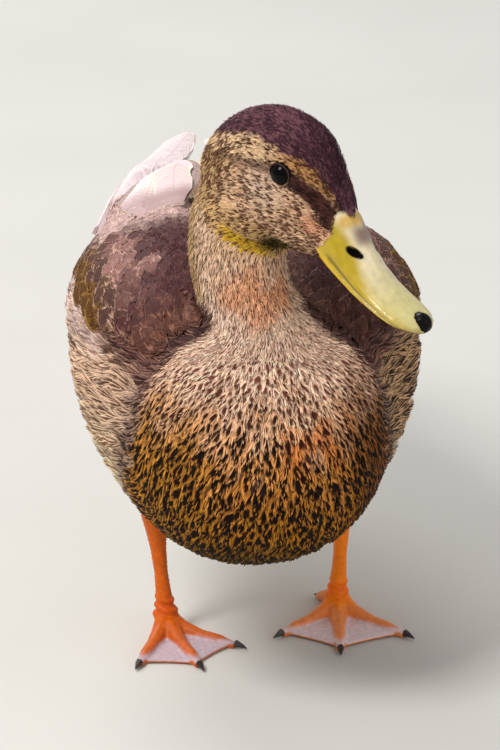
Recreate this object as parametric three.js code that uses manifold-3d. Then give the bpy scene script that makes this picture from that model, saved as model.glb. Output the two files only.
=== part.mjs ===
// Mallard duck standing with its head turned to its left, life size.
// Millimetres, +Z up. The duck faces -Y, its left side is +X, and the floor is z = 0.
// Every body region is a loft of superellipse rings; neighbouring pieces keep a 0.3 mm gap.
import * as THREE from 'three';
import { mergeVertices } from 'three/addons/utils/BufferGeometryUtils.js';
import Module from 'manifold-3d';

const wasm = await Module();
wasm.setup();

// ---------------------------------------------------------------- driving dimensions
const GAP = 0.3; // clearance between neighbouring pieces
const TRUNK_RINGS = 20;
const TRUNK_SIDES = 28;

// Trunk stations from breast to rump:
// [y, half width, top z, bottom z, z of greatest width, x of the middle]
const TRUNK = [
  [-113.5, 3, 118, 111, 115, -5],
  [-112, 13, 129, 102, 116, -5],
  [-107, 26, 142, 91, 116, -5],
  [-99, 37, 154, 80, 116, -5],
  [-88, 47, 164, 70.5, 115, -5],
  [-74, 54, 170, 60.5, 114, -5],
  [-57, 59.5, 174, 54.5, 115, -5],
  [-38, 66, 178, 51, 120, -4],
  [-19, 74, 182, 51, 126, -2.2],
  [0, 79, 184, 53, 131, -0.8],
  [29, 80, 184, 57.5, 132, 0.2],
  [57, 75, 181, 66, 132, 0],
  [86, 65.5, 176, 80, 134, 0],
  [115, 53, 169, 98, 137, 0],
  [143, 39, 161, 118, 140, 0],
  [165, 26, 154.5, 131, 142.5, 0],
  [180, 16, 150.5, 138.5, 144.5, 0],
  [190, 6, 147.5, 142.5, 145, 0],
];

// Neck stations from the breast up: [x, y, z, half width, half depth, turn in degrees]
const NECK = [
  [-2, -44, 120, 45, 42, 0],
  [-2, -47, 142, 45, 43, 3],
  [-1.5, -51, 156, 40, 40, 7],
  [-2, -55, 168, 30.5, 34, 12],
  [-7, -57.5, 177, 23.5, 29, 18],
  [-11.5, -60, 186, 20.5, 26, 26],
  [-14.6, -61, 199, 18.8, 24, 34],
  [-13.2, -64, 214, 18.4, 23.5, 40],
  [-8, -68, 230, 17.5, 22, 44],
];

// Head frame: the top of the bill's base, the turn to the left and the tilt of the bill
const BILL_BASE = new THREE.Vector3(28, -102, 227);
const HEAD_TURN = 44;
const HEAD_TILT = 25;

// Head stations along the bill's axis: [along, top, bottom, half width, height of widest]
const HEAD = [
  [0.6, 4.8, -16, 4, -6],
  [-3, 7.6, -20.5, 10.6, -8],
  [-8, 12, -23, 12.8, -9],
  [-15, 18.5, -26, 14.6, -8],
  [-23, 25.6, -29, 15.8, -6],
  [-31, 28.2, -31, 16.8, -5],
  [-39, 27.8, -32, 17.8, -5],
  [-47, 26, -33, 18.4, -5],
  [-55, 22.6, -32, 18.2, -5],
  [-63, 16.6, -29, 16.6, -5],
  [-69, 9.5, -24, 13, -6],
  [-73, 1, -17, 8, -8],
  [-74.8, -6, -11, 2.5, -8],
];

// Bill stations: [along, half width, ridge height, lower rim height, squareness]
const BILL = [
  [-5, 10.6, 5, -15.2, 3.2],
  [0, 11.3, 4, -16.6, 2.7],
  [5, 11.6, 1.4, -17.6, 2.2],
  [12, 11.7, -3.1, -19, 1.9],
  [20, 12, -7.5, -20.2, 1.8],
  [28, 12.3, -11, -20.7, 1.8],
  [36, 12.6, -13.2, -20.7, 1.9],
  [43, 12.3, -14.2, -20.5, 2],
  [48, 10.8, -14.8, -20.2, 2],
  [51.5, 8, -15.6, -20, 2],
  [53.8, 4.4, -17, -20.2, 2],
  [54.8, 1.4, -18.3, -20, 2],
];
const BILL_LIP = 0.9; // how far the upper bill's rim hangs below its widest line
const LOWER_BILL = [
  [-3.5, 8.6, 4.6],
  [6, 9.4, 4.2],
  [18, 9.6, 3.4],
  [30, 10.2, 2.8],
  [40, 10.4, 2.4],
  [46, 9, 2],
  [50, 4, 1.5],
];
const NAIL_SIZE = [4.9, 4.5, 4.3]; // half length, half height, half width
const NAIL_AT = [50.4, -17.6];
const NOSTRIL_AT = [11, -6.2];
const NOSTRIL_SIZE = [3.4, 1.7, 2.6];

const EYE_RADIUS = 4.9;
const EYE_AT = [-31.6, 6.8, 12.4]; // along, up, out from the middle

// Folded wing over the trunk: [y, thickness, upper edge angle, lower edge angle]
const WING = [
  [-52, 0.6, 52, 36],
  [-44, 1.6, 64, 24],
  [-28, 2.2, 74, 16],
  [0, 2.6, 80, 10],
  [30, 3, 82, 6],
  [60, 3.2, 82, 3],
  [84, 3, 80, 2],
  [104, 2.2, 74, 5],
  [120, 0.8, 62, 18],
];

// Long inner wing feathers: [y, x, z, half width, thickness, slope in degrees]
const TERTIALS = [
  [60, 40, 178, 19, 3.4, 22],
  [85, 36, 177, 21, 4.2, 17],
  [108, 29, 176.5, 20, 4, 12],
  [128, 22, 176.5, 16.5, 3.2, 8],
  [145, 15.5, 175.5, 11.5, 2.6, 6],
  [155, 11, 174.8, 7, 2, 5],
  [161, 9, 174.2, 2.5, 1.4, 5],
];

// Wing tip: [y, x, z, half width, thickness, slope in degrees]
const PRIMARIES = [
  [80, 50, 163, 12, 3, 16],
  [100, 46, 167.5, 12, 3, 6],
  [125, 35, 173, 11, 2.8, -6],
  [140, 27.3, 175.3, 9.8, 2.6, -9],
  [160, 15.5, 175.6, 7.8, 2.2, -9],
  [177, 8.5, 177, 6, 1.9, -8],
  [188, 3.6, 178.6, 3.4, 1.5, -8],
  [191, 2, 179, 1.2, 1.2, -8],
];

// Tail fan
const TAIL_ROOT_Y = 148;
const TAIL_LENGTH = 84;
const TAIL_ROOT_HALF = 13;
const TAIL_FEATHERS = 10;
const TAIL_SPREAD = 15; // degrees to each side
const TAIL_Z = 148;
const TAIL_THICKNESS = 2.4;

// Legs: [x, y] of each ankle and the directions of its toes, in degrees from -Y towards +X
const FLOOR_Z = -4.7; // the floor while building; the finished duck is lifted onto z = 0
const ANKLE_Z = FLOOR_Z + 9;
const HOCK_RISE = [4.3, 9, 50]; // outward, back and up from the ankle
const SHANK = [
  // share from ankle to hock, half width, half depth
  [0, 5.6, 5.8],
  [0.12, 4.4, 4.8],
  [0.28, 3.3, 4.2],
  [0.5, 3.2, 4.2],
  [0.75, 4.5, 5.2],
  [0.9, 6, 6.6],
  [1, 6.2, 6.8],
];
const THIGH = [
  // share from hock to hip, half width, half depth
  [0, 6, 6.6],
  [0.12, 7.8, 8.8],
  [0.4, 12, 14],
  [0.8, 17, 20],
  [1, 16, 19],
];
const THIGH_REACH = [-8, 4, 42]; // outward, back and up from hock to hip
const LEGS = {
  right: { side: -1, ankle: [-38.2, 8], toes: [-24, 13, 52], hind: 172 },
  left: { side: 1, ankle: [43.3, 18], toes: [-52, -7, 40], hind: -162 },
};
const TOE_LENGTHS = { inner: 37, middle: 44, outer: 41 };
const HIND_TOE_LENGTH = 19;
const HIND_TOE = [
  // share of its length, half width, half height
  [0, 3.6, 3.6],
  [0.5, 3, 3],
  [0.9, 2.5, 2.4],
  [1, 1.5, 1.5],
];
const ANKLE_RADIUS = 6.2;
const PAD_SIZE = [4.8, 6, 3.4]; // half width, half length, half height of the heel pad
const PAD_Z = FLOOR_Z + 2.4;
const TOE_BASE = [4.3, 4.1]; // half width, half height
const TOE_TIP = [2.5, 2.3];
const WEB_THICKNESS = 1.4;
const WEB_REACH = 0.88; // share of the toes' length
const WEB_DIP = 0.03; // how far its edge draws back between the toes
const CLAW_LENGTH = 5.5;

// ---------------------------------------------------------------- materials
const material = (color, roughness, metalness = 0) =>
  new THREE.MeshStandardMaterial({ color, roughness, metalness });
const PLUMAGE = {
  head: material('#8d7458', 0.85),
  neck: material('#b0906c', 0.85),
  breast: material('#a8703f', 0.85),
  wing: material('#5a4640', 0.7),
  tertial: material('#8f8188', 0.65),
  tip: material('#d8d2d4', 0.65),
  tail: material('#7a5a45', 0.75),
  thigh: material('#a07c58', 0.85),
};
const HORN = {
  bill: material('#a9a23a', 0.4),
  lower: material('#b5a040', 0.45),
  nail: material('#18161a', 0.3),
  leg: material('#e2612c', 0.5),
  claw: material('#2a2220', 0.4),
};
const EYE = material('#0a0807', 0.08);

// ---------------------------------------------------------------- shape helpers
const radians = THREE.MathUtils.degToRad;
const power = (value, exponent) => Math.sign(value) * Math.abs(value) ** exponent;

// Smooth values between the rows of a station table, `count` rows out.
function smoothRows(table, count) {
  const rows = [];
  const last = table.length - 1;
  for (let i = 0; i < count; i++) {
    const at = (i / (count - 1)) * last;
    const k = Math.min(Math.floor(at), last - 1);
    const t = at - k;
    const [p0, p1, p2, p3] = [k - 1, k, k + 1, k + 2].map(
      (j) => table[THREE.MathUtils.clamp(j, 0, last)],
    );
    rows.push(p1.map((_, c) => {
      const m1 = (p2[c] - p0[c]) / 2;
      const m2 = (p3[c] - p1[c]) / 2;
      const d = p2[c] - p1[c];
      return p1[c] + t * (m1 + t * (3 * d - 2 * m1 - m2 + t * (m1 + m2 - 2 * d)));
    }));
  }
  return rows;
}

// One superellipse ring about `centre`, spanned by `across` and `up`.
function ring({ centre, across, up, width, top, bottom, sides, bend = 2, bendLow = bend }) {
  return Array.from({ length: sides }, (_, i) => {
    const angle = (i / sides) * Math.PI * 2;
    const s = Math.sin(angle);
    const e = 2 / (s >= 0 ? bend : bendLow);
    return centre.clone()
      .addScaledVector(across, width * power(Math.cos(angle), e))
      .addScaledVector(up, (s >= 0 ? top : bottom) * power(s, e));
  });
}

// A closed geometry through rings of equal point count, with a fan on each end.
function loft(rings) {
  const n = rings[0].length;
  const points = rings.flat();
  const faces = [];
  for (let r = 0; r + 1 < rings.length; r++) {
    for (let i = 0; i < n; i++) {
      const [a, b] = [r * n + i, r * n + ((i + 1) % n)];
      faces.push(a, b, b + n, a, b + n, a + n);
    }
  }
  for (const [start, flip] of [[0, true], [(rings.length - 1) * n, false]]) {
    const middle = new THREE.Vector3();
    for (let i = 0; i < n; i++) middle.addScaledVector(points[start + i], 1 / n);
    const pole = points.push(middle) - 1;
    for (let i = 0; i < n; i++) {
      const [a, b] = [start + i, start + ((i + 1) % n)];
      faces.push(...(flip ? [b, a, pole] : [a, b, pole]));
    }
  }
  return toGeometry(points, faces);
}

function toGeometry(points, faces) {
  const geometry = new THREE.BufferGeometry();
  const positions = points.flatMap((p) => [p.x, p.y, p.z]);
  geometry.setAttribute('position', new THREE.Float32BufferAttribute(positions, 3));
  geometry.setIndex(faces);
  return signedVolume(points, faces) < 0 ? flipped(geometry) : geometry;
}

function signedVolume(points, faces) {
  let sum = 0;
  for (let i = 0; i < faces.length; i += 3) {
    const [a, b, c] = [points[faces[i]], points[faces[i + 1]], points[faces[i + 2]]];
    sum += a.dot(b.clone().cross(c));
  }
  return sum;
}

function flipped(geometry) {
  const index = geometry.getIndex().array;
  for (let i = 0; i < index.length; i += 3) {
    [index[i], index[i + 1]] = [index[i + 1], index[i]];
  }
  return geometry;
}

// A plate following `surface(u, v)`, `thickness` thick along +Z.
function plate(surface, nu, nv, thickness) {
  const points = [];
  for (const offset of [thickness / 2, -thickness / 2]) {
    for (let i = 0; i <= nu; i++) {
      for (let j = 0; j <= nv; j++) {
        const p = surface(i / nu, j / nv);
        points.push(new THREE.Vector3(p.x, p.y, p.z + offset));
      }
    }
  }
  const layer = (nu + 1) * (nv + 1);
  const at = (i, j, low) => i * (nv + 1) + j + (low ? layer : 0);
  const faces = [];
  const quad = (a, b, c, d) => faces.push(a, b, c, a, c, d);
  for (let i = 0; i < nu; i++) {
    for (let j = 0; j < nv; j++) {
      quad(at(i, j), at(i + 1, j), at(i + 1, j + 1), at(i, j + 1));
      quad(at(i, j, 1), at(i, j + 1, 1), at(i + 1, j + 1, 1), at(i + 1, j, 1));
    }
  }
  for (let i = 0; i < nu; i++) {
    quad(at(i, 0, 1), at(i + 1, 0, 1), at(i + 1, 0), at(i, 0));
    quad(at(i, nv), at(i + 1, nv), at(i + 1, nv, 1), at(i, nv, 1));
  }
  for (let j = 0; j < nv; j++) {
    quad(at(0, j), at(0, j + 1), at(0, j + 1, 1), at(0, j, 1));
    quad(at(nu, j, 1), at(nu, j + 1, 1), at(nu, j + 1), at(nu, j));
  }
  return toGeometry(points, faces);
}

// ---------------------------------------------------------------- joins and cuts
function solid(geometry) {
  const bare = geometry.clone();
  for (const name of Object.keys(bare.attributes)) {
    if (name !== 'position') bare.deleteAttribute(name);
  }
  const merged = mergeVertices(bare, 1e-4);
  return new wasm.Manifold(new wasm.Mesh({
    numProp: 3,
    vertProperties: new Float32Array(merged.getAttribute('position').array),
    triVerts: new Uint32Array(merged.getIndex().array),
  }));
}

function shell(body) {
  const { vertProperties, triVerts } = body.getMesh();
  const geometry = new THREE.BufferGeometry();
  geometry.setAttribute('position', new THREE.Float32BufferAttribute(vertProperties, 3));
  geometry.setIndex(new THREE.Uint32BufferAttribute(triVerts, 1));
  geometry.computeVertexNormals();
  return geometry;
}

// The largest single body left after a cut.
const mainBody = (body) =>
  body.decompose().sort((a, b) => b.volume() - a.volume())[0];
const carve = (body, ...cutters) => mainBody(cutters.reduce((b, c) => b.subtract(c), body));
const join = (...bodies) => bodies.reduce((a, b) => a.add(b));

// ---------------------------------------------------------------- trunk
const X = new THREE.Vector3(1, 0, 0);
const Z = new THREE.Vector3(0, 0, 1);

function trunkSection(row, grow = 0) {
  const [y, width, top, bottom, middle, x] = row;
  return {
    centre: new THREE.Vector3(x, y, middle),
    across: X,
    up: Z,
    width: width + grow,
    top: top - middle + grow,
    bottom: middle - bottom + grow,
    bend: 2.5,
    bendLow: 2.1,
  };
}

function trunkLoft(grow = 0) {
  const rows = smoothRows(TRUNK, TRUNK_RINGS);
  rows[0][0] -= grow;
  rows[rows.length - 1][0] += grow;
  return solid(loft(rows.map((row) => ring({ ...trunkSection(row, grow), sides: TRUNK_SIDES }))));
}

// ---------------------------------------------------------------- neck and head
function neckLoft(grow = 0) {
  const rings = smoothRows(NECK, 10).map(([x, y, z, width, depth, turn]) => {
    const t = radians(turn);
    return ring({
      centre: new THREE.Vector3(x, y, z),
      across: new THREE.Vector3(Math.cos(t), Math.sin(t), 0),
      up: new THREE.Vector3(Math.sin(t), -Math.cos(t), -0.12),
      width: width + grow,
      top: depth + grow,
      bottom: depth + grow,
      sides: 20,
    });
  });
  return solid(loft(rings));
}

const turn = radians(HEAD_TURN);
const tilt = radians(HEAD_TILT);
const ALONG = new THREE.Vector3(
  Math.cos(tilt) * Math.sin(turn) , -Math.cos(tilt) * Math.cos(turn), -Math.sin(tilt),
);
const RIGHT = new THREE.Vector3(-Math.cos(turn), -Math.sin(turn), 0);
const CROWN = new THREE.Vector3().crossVectors(ALONG, RIGHT).multiplyScalar(-1);
const headPoint = (along, up, out = 0) => BILL_BASE.clone()
  .addScaledVector(ALONG, along).addScaledVector(CROWN, up).addScaledVector(RIGHT, out);

function headLoft() {
  const rings = smoothRows(HEAD, 15).map(([along, top, bottom, width, middle]) => ring({
    centre: headPoint(along, middle),
    across: RIGHT,
    up: CROWN,
    width,
    top: top - middle,
    bottom: middle - bottom,
    sides: 20,
    bend: 2.15,
  }));
  return solid(loft(rings));
}

// An ellipsoid in the head's frame, grown by `grow`.
function headBall([along, up, out], [a, b, c], grow = 0, detail = 10) {
  const ball = new THREE.SphereGeometry(1, detail, Math.round(detail * 0.7));
  const frame = new THREE.Matrix4().makeBasis(
    RIGHT.clone().multiplyScalar(c + grow),
    CROWN.clone().multiplyScalar(b + grow),
    ALONG.clone().multiplyScalar(a + grow),
  );
  frame.setPosition(headPoint(along, up, out));
  ball.applyMatrix4(frame);
  if (frame.determinant() < 0) flipped(ball);
  return solid(ball);
}

// ---------------------------------------------------------------- bill
function upperBill(grow = 0) {
  const rows = smoothRows(BILL, 12);
  rows[0][0] -= grow;
  return solid(loft(rows.map(([along, width, ridge, rim, bend]) => ring({
    centre: headPoint(along, rim + BILL_LIP),
    across: RIGHT,
    up: CROWN,
    width: width + grow,
    top: ridge - rim - BILL_LIP + grow,
    bottom: BILL_LIP + grow,
    sides: 18,
    bend,
    bendLow: 3,
  }))));
}

function lowerBill(grow = 0) {
  const rims = smoothRows(BILL, 60);
  const rimAt = (along) => rims.reduce(
    (best, row) => (Math.abs(row[0] - along) < Math.abs(best[0] - along) ? row : best),
  )[3];
  return solid(loft(smoothRows(LOWER_BILL, 9).map(([along, width, depth]) => ring({
    centre: headPoint(along, rimAt(along) - GAP - 0.35),
    across: RIGHT,
    up: CROWN,
    width: width + grow,
    top: 0.35 + grow,
    bottom: depth + grow,
    sides: 12,
  }))));
}

// ---------------------------------------------------------------- wings and tail
// A point on the trunk's side at `angle` above the widest line, `offset` outside it.
function trunkSide(row, side, angle, offset) {
  const { centre, width, top, bottom, bend, bendLow } = trunkSection(row);
  const [c, s] = [Math.cos(angle), Math.sin(angle)];
  const e = 2 / (s >= 0 ? bend : bendLow);
  const height = s >= 0 ? top : bottom;
  const x = width * power(c, e);
  const z = height * power(s, e);
  const normal = new THREE.Vector3(x / width ** 2, 0, z / height ** 2).normalize();
  return new THREE.Vector3(
    centre.x + side * (x + normal.x * offset), centre.y, centre.z + z + normal.z * offset,
  );
}

function wingLoft(side) {
  const trunkRows = smoothRows(TRUNK, 160);
  const rowAt = (y) => trunkRows.reduce(
    (best, row) => (Math.abs(row[0] - y) < Math.abs(best[0] - y) ? row : best),
  );
  const steps = 7;
  const rings = smoothRows(WING, 10).map(([y, thickness, high, low]) => {
    const row = [...rowAt(y)];
    row[0] = y;
    const outer = [];
    const inner = [];
    for (let i = 0; i <= steps; i++) {
      const t = i / steps;
      const angle = radians(high + (low - high) * t);
      outer.push(trunkSide(row, side, angle, 1.5 + thickness * Math.sin(Math.PI * t) ** 0.6));
      inner.unshift(trunkSide(row, side, angle, -3));
    }
    return [...outer, ...inner];
  });
  return solid(loft(rings));
}

function blade(table, side, grow = 0, shift = [0, 0, 0]) {
  const rows = smoothRows(table, 10);
  return solid(loft(rows.map(([y, x, z, width, thickness, slope]) => {
    const t = radians(slope);
    return ring({
      centre: new THREE.Vector3(side * (x + shift[0]), y + shift[1], z + shift[2]),
      across: new THREE.Vector3(side * Math.cos(t), 0, -Math.sin(t)),
      up: new THREE.Vector3(side * Math.sin(t), 0, Math.cos(t)),
      width: width + grow,
      top: thickness / 2 + grow,
      bottom: thickness / 2 + grow,
      sides: 10,
      bend: 2.4,
    });
  })));
}

function tailFan(grow = 0) {
  const outline = new THREE.Shape();
  const span = radians(TAIL_SPREAD);
  const tip = (k, share) => {
    const angle = -span + ((k + share) / TAIL_FEATHERS) * 2 * span;
    const wedge = 1 - 0.22 * (Math.abs(angle) / span) ** 1.6;
    const notch = 1 - 0.045 * Math.abs(2 * share - 1) ** 2;
    const reach = TAIL_LENGTH * wedge * notch + grow;
    return [
      Math.sin(angle) * reach * 1.02 + (angle / span) * TAIL_ROOT_HALF * 0.8,
      TAIL_ROOT_Y + Math.cos(angle) * reach,
    ];
  };
  outline.moveTo(-TAIL_ROOT_HALF - grow, TAIL_ROOT_Y - grow);
  outline.lineTo(TAIL_ROOT_HALF + grow, TAIL_ROOT_Y - grow);
  for (let k = TAIL_FEATHERS - 1; k >= 0; k--) {
    for (const share of [1, 0.75, 0.5, 0.25]) outline.lineTo(...tip(k, share));
  }
  outline.lineTo(...tip(0, 0));
  outline.closePath();
  const fan = new THREE.ExtrudeGeometry(outline, {
    depth: TAIL_THICKNESS + 2 * grow, bevelEnabled: false, steps: 1,
  });
  const position = fan.getAttribute('position');
  for (let i = 0; i < position.count; i++) {
    const x = position.getX(i);
    const back = (position.getY(i) - TAIL_ROOT_Y) / TAIL_LENGTH;
    const z = TAIL_Z - grow - TAIL_THICKNESS / 2 + position.getZ(i) * (1 - 0.35 * back);
    position.setZ(i, z + 3 * back - x * x * 0.0035);
  }
  return solid(fan);
}

// ---------------------------------------------------------------- legs and feet
function limb(from, to, table, count, sides) {
  const axis = to.clone().sub(from);
  const across = X.clone().addScaledVector(axis, -axis.x / axis.lengthSq()).normalize();
  const deep = new THREE.Vector3().crossVectors(axis, across).normalize();
  return solid(loft(smoothRows(table, count).map(([share, width, depth]) => ring({
    centre: from.clone().addScaledVector(axis, share),
    across,
    up: deep,
    width,
    top: depth,
    bottom: depth,
    sides,
  }))));
}

// Middle of a toe at `share` of its length: down from the ankle, then along the floor.
function toePoint(ankle, angle, length, share, height) {
  const a = radians(angle);
  const drop = Math.max(0, 1 - share / 0.34);
  return new THREE.Vector3(
    ankle.x + Math.sin(a) * length * share,
    ankle.y - Math.cos(a) * length * share,
    FLOOR_Z + height + (ankle.z - FLOOR_Z - height) * drop * drop * (3 - 2 * drop),
  );
}

function toe(ankle, angle, length, slim = 1) {
  const a = radians(angle);
  const across = new THREE.Vector3(Math.cos(a), Math.sin(a), 0);
  const count = 5;
  const rings = Array.from({ length: count }, (_, i) => {
    const share = i / (count - 1);
    const knuckle = 1 + 0.08 * Math.cos(share * Math.PI * 6);
    const end = share > 0.93 ? 0.72 : 1;
    const size = (k) => slim * end * knuckle * (TOE_BASE[k] + (TOE_TIP[k] - TOE_BASE[k]) * share);
    const height = size(1) - 0.6;
    return ring({
      centre: toePoint(ankle, angle, length, share, height),
      across,
      up: Z,
      width: size(0),
      top: size(1),
      bottom: size(1),
      sides: 8,
    });
  });
  return solid(loft(rings));
}

function web(ankle, [angleA, lengthA], [angleB, lengthB]) {
  const surface = (u, v) => {
    const reach = 0.06 + u * (WEB_REACH - WEB_DIP * Math.sin(Math.PI * v));
    const a = toePoint(ankle, angleA, lengthA, reach, 1.5);
    const b = toePoint(ankle, angleB, lengthB, reach, 1.5);
    const p = a.lerp(b, v);
    p.z -= 0.5 * Math.sin(Math.PI * v) * u;
    return p;
  };
  return solid(plate(surface, 3, 4, WEB_THICKNESS));
}

function claw(ankle, angle, length, lift = 0) {
  const a = radians(angle);
  const forward = new THREE.Vector3(Math.sin(a), -Math.cos(a), 0);
  const across = new THREE.Vector3(Math.cos(a), Math.sin(a), 0);
  const base = toePoint(ankle, angle, length, 1, 2.3 + lift).addScaledVector(forward, GAP);
  return solid(loft([0, 0.35, 0.7, 1].map((t) => ring({
    centre: base.clone().addScaledVector(forward, t * CLAW_LENGTH).addScaledVector(Z, -1.1 * t * t),
    across,
    up: Z,
    width: 1.5 * (1 - t) + 0.35,
    top: 1.5 * (1 - t) + 0.35,
    bottom: 1.4 * (1 - t) + 0.35,
    sides: 6,
  }))));
}

function hindToe(ankle, angle) {
  const a = radians(angle);
  const forward = new THREE.Vector3(Math.sin(a), -Math.cos(a), 0);
  const from = ankle.clone().add(new THREE.Vector3(0, 0, 1));
  const to = ankle.clone().addScaledVector(forward, HIND_TOE_LENGTH);
  to.z = FLOOR_Z + 1.8;
  return { from, to, forward };
}

function leg(name, { side, ankle: [x, y], toes, hind }) {
  const ankle = new THREE.Vector3(x, y, ANKLE_Z);
  const hock = new THREE.Vector3(
    x + side * HOCK_RISE[0], y + HOCK_RISE[1], ANKLE_Z + HOCK_RISE[2],
  );
  const hip = new THREE.Vector3(
    hock.x + side * THIGH_REACH[0], hock.y + THIGH_REACH[1], hock.z + THIGH_REACH[2],
  );
  const lengths = side > 0
    ? [TOE_LENGTHS.inner, TOE_LENGTHS.middle, TOE_LENGTHS.outer]
    : [TOE_LENGTHS.outer, TOE_LENGTHS.middle, TOE_LENGTHS.inner];
  const rays = toes.map((angle, i) => [angle, lengths[i]]);
  const back = hindToe(ankle, hind);
  const hindSolid = limb(back.from, back.to, HIND_TOE, 4, 8);
  const knuckle = new THREE.SphereGeometry(ANKLE_RADIUS, 8, 6).translate(ankle.x, ankle.y, ankle.z);
  const pad = new THREE.SphereGeometry(1, 8, 6).scale(...PAD_SIZE).translate(x, y - 1, PAD_Z);
  const foot = join(
    solid(knuckle), solid(pad), ...rays.map(([angle, length]) => toe(ankle, angle, length)),
    web(ankle, rays[0], rays[1]), web(ankle, rays[1], rays[2]), hindSolid,
  );
  const whole = limb(ankle, hock, SHANK, 8, 10);
  const up = hock.clone().sub(ankle).normalize();
  const cut = up.dot(ankle) + 4.4;
  const normal = [up.x, up.y, up.z];
  const down = normal.map((v) => -v);
  const shank = mainBody(whole.trimByPlane(normal, cut + GAP));
  const hockLevel = up.dot(hock) - 0.01;
  const footBody = mainBody(foot.trimByPlane([0, 0, 1], FLOOR_Z).trimByPlane(down, -cut));
  const knee = limb(hock.clone().addScaledVector(up, -3), hip, THIGH, 7, 14);
  const thigh = mainBody(knee.trimByPlane(normal, hockLevel + GAP));
  const claws = rays.map(([angle, length]) => claw(ankle, angle, length));
  const tipRise = back.to.z - FLOOR_Z;
  const hindClaw = solid(loft([0, 0.4, 0.75, 1].map((t) => ring({
    centre: back.to.clone().addScaledVector(back.forward, GAP + 0.25 + t * 4)
      .add(new THREE.Vector3(0, 0, -0.25 * tipRise * t * t)),
    across: new THREE.Vector3(-back.forward.y, back.forward.x, 0),
    up: Z,
    width: 1.1 * (1 - t) + 0.3,
    top: 1.1 * (1 - t) + 0.3,
    bottom: 1.1 * (1 - t) + 0.3,
    sides: 6,
  }))));
  return { name, shank, foot: footBody, thigh, claws, hindClaw };
}

// ---------------------------------------------------------------- assembly
const group = new THREE.Group();
function add(name, body, finish) {
  const mesh = new THREE.Mesh(shell(body), finish);
  mesh.name = name;
  group.add(mesh);
}

const trunkBody = trunkLoft();
const neckBody = neckLoft();
const headBody = headLoft();
const flesh = join(trunkBody, neckBody, headBody);
const bigTrunk = trunkLoft(GAP + 0.05);
const bigNeck = neckLoft(GAP + 0.05);

const neckCut = new THREE.Vector3(0, -0.5, 0.866);
const neckLevel = neckCut.dot(new THREE.Vector3(0, -50, 178));
const headCut = new THREE.Vector3(0.1, -0.35, 0.93).normalize();
const headLevel = headCut.dot(headPoint(-44, -34));
const plane = (v) => [v.x, v.y, v.z];
const below = (v) => [-v.x, -v.y, -v.z];

const tail = tailFan();
const eyeSize = [EYE_RADIUS, EYE_RADIUS, EYE_RADIUS];
const eyes = [1, -1].map((s) => [[EYE_AT[0], EYE_AT[1], s * EYE_AT[2]], eyeSize]);
const nail = headBall([...NAIL_AT, 0], NAIL_SIZE);

const legs = Object.entries(LEGS).map(([name, spec]) => leg(name, spec));
const trunk = carve(
  flesh.trimByPlane(below(neckCut), -neckLevel), tailFan(GAP),
);
add('trunk', trunk, PLUMAGE.breast);
add('neck', mainBody(
  flesh.trimByPlane(plane(neckCut), neckLevel + GAP).trimByPlane(below(headCut), -headLevel),
), PLUMAGE.neck);
add('head', carve(
  flesh.trimByPlane(plane(headCut), headLevel + GAP),
  upperBill(GAP), lowerBill(GAP), ...eyes.map(([at, size]) => headBall(at, size, GAP)),
), PLUMAGE.head);
add('bill_upper', carve(
  upperBill(), headBall([...NAIL_AT, 0], NAIL_SIZE, GAP),
  ...[1, -1].map((s) => headBall([...NOSTRIL_AT, s * 7.2], NOSTRIL_SIZE, 0, 8)),
), HORN.bill);
add('bill_lower', carve(lowerBill(), headBall([...NAIL_AT, 0], NAIL_SIZE, GAP)), HORN.lower);
add('bill_nail', nail, HORN.nail);
add('eye_right', headBall(...eyes[0]), EYE);
add('eye_left', headBall(...eyes[1]), EYE);

for (const [name, side, shift] of [['right', -1, [0, 0, 0]], ['left', 1, [3, -4, -2.5]]]) {
  const wing = carve(wingLoft(side), bigTrunk, bigNeck);
  const bigTertials = blade(TERTIALS, side, GAP, shift);
  const bigPrimaries = blade(PRIMARIES, side, GAP, shift);
  const over = side > 0 ? [blade(PRIMARIES, -1, GAP), blade(TERTIALS, -1, GAP)] : [];
  add(`wing_${name}`, carve(wing, bigTertials, bigPrimaries), PLUMAGE.wing);
  add(`tertials_${name}`, carve(
    blade(TERTIALS, side, 0, shift), bigTrunk, ...over,
  ), PLUMAGE.tertial);
  add(`primaries_${name}`, carve(
    blade(PRIMARIES, side, 0, shift), bigTrunk, bigTertials, ...over,
  ), PLUMAGE.tip);
}
add('tail', tail, PLUMAGE.tail);

const toeNames = { right: ['outer', 'middle', 'inner'], left: ['inner', 'middle', 'outer'] };
for (const { name, shank, foot, thigh, claws, hindClaw } of legs) {
  add(`thigh_${name}`, carve(thigh, bigTrunk), PLUMAGE.thigh);
  add(`shank_${name}`, shank, HORN.leg);
  add(`foot_${name}`, foot, HORN.leg);
  claws.forEach((body, i) => add(`claw_${name}_${toeNames[name][i]}`, body, HORN.claw));
  add(`claw_${name}_hind`, hindClaw, HORN.claw);
}

// Origin on the floor under the middle of the whole duck.
const middle = new THREE.Box3().setFromObject(group).getCenter(new THREE.Vector3());
for (const mesh of group.children) mesh.position.set(-middle.x, -middle.y, -FLOOR_Z);

export default group;
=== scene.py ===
"""Hen mallard standing on both feet: skin, plumage, bill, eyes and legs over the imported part."""
import logging
import math
from dataclasses import dataclass
from enum import Enum
from typing import Any, Callable, ClassVar, Sequence

import bmesh
import bpy
import numpy as np
from mathutils import Matrix, Vector
from mathutils.bvhtree import BVHTree
from mathutils.kdtree import KDTree


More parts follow.
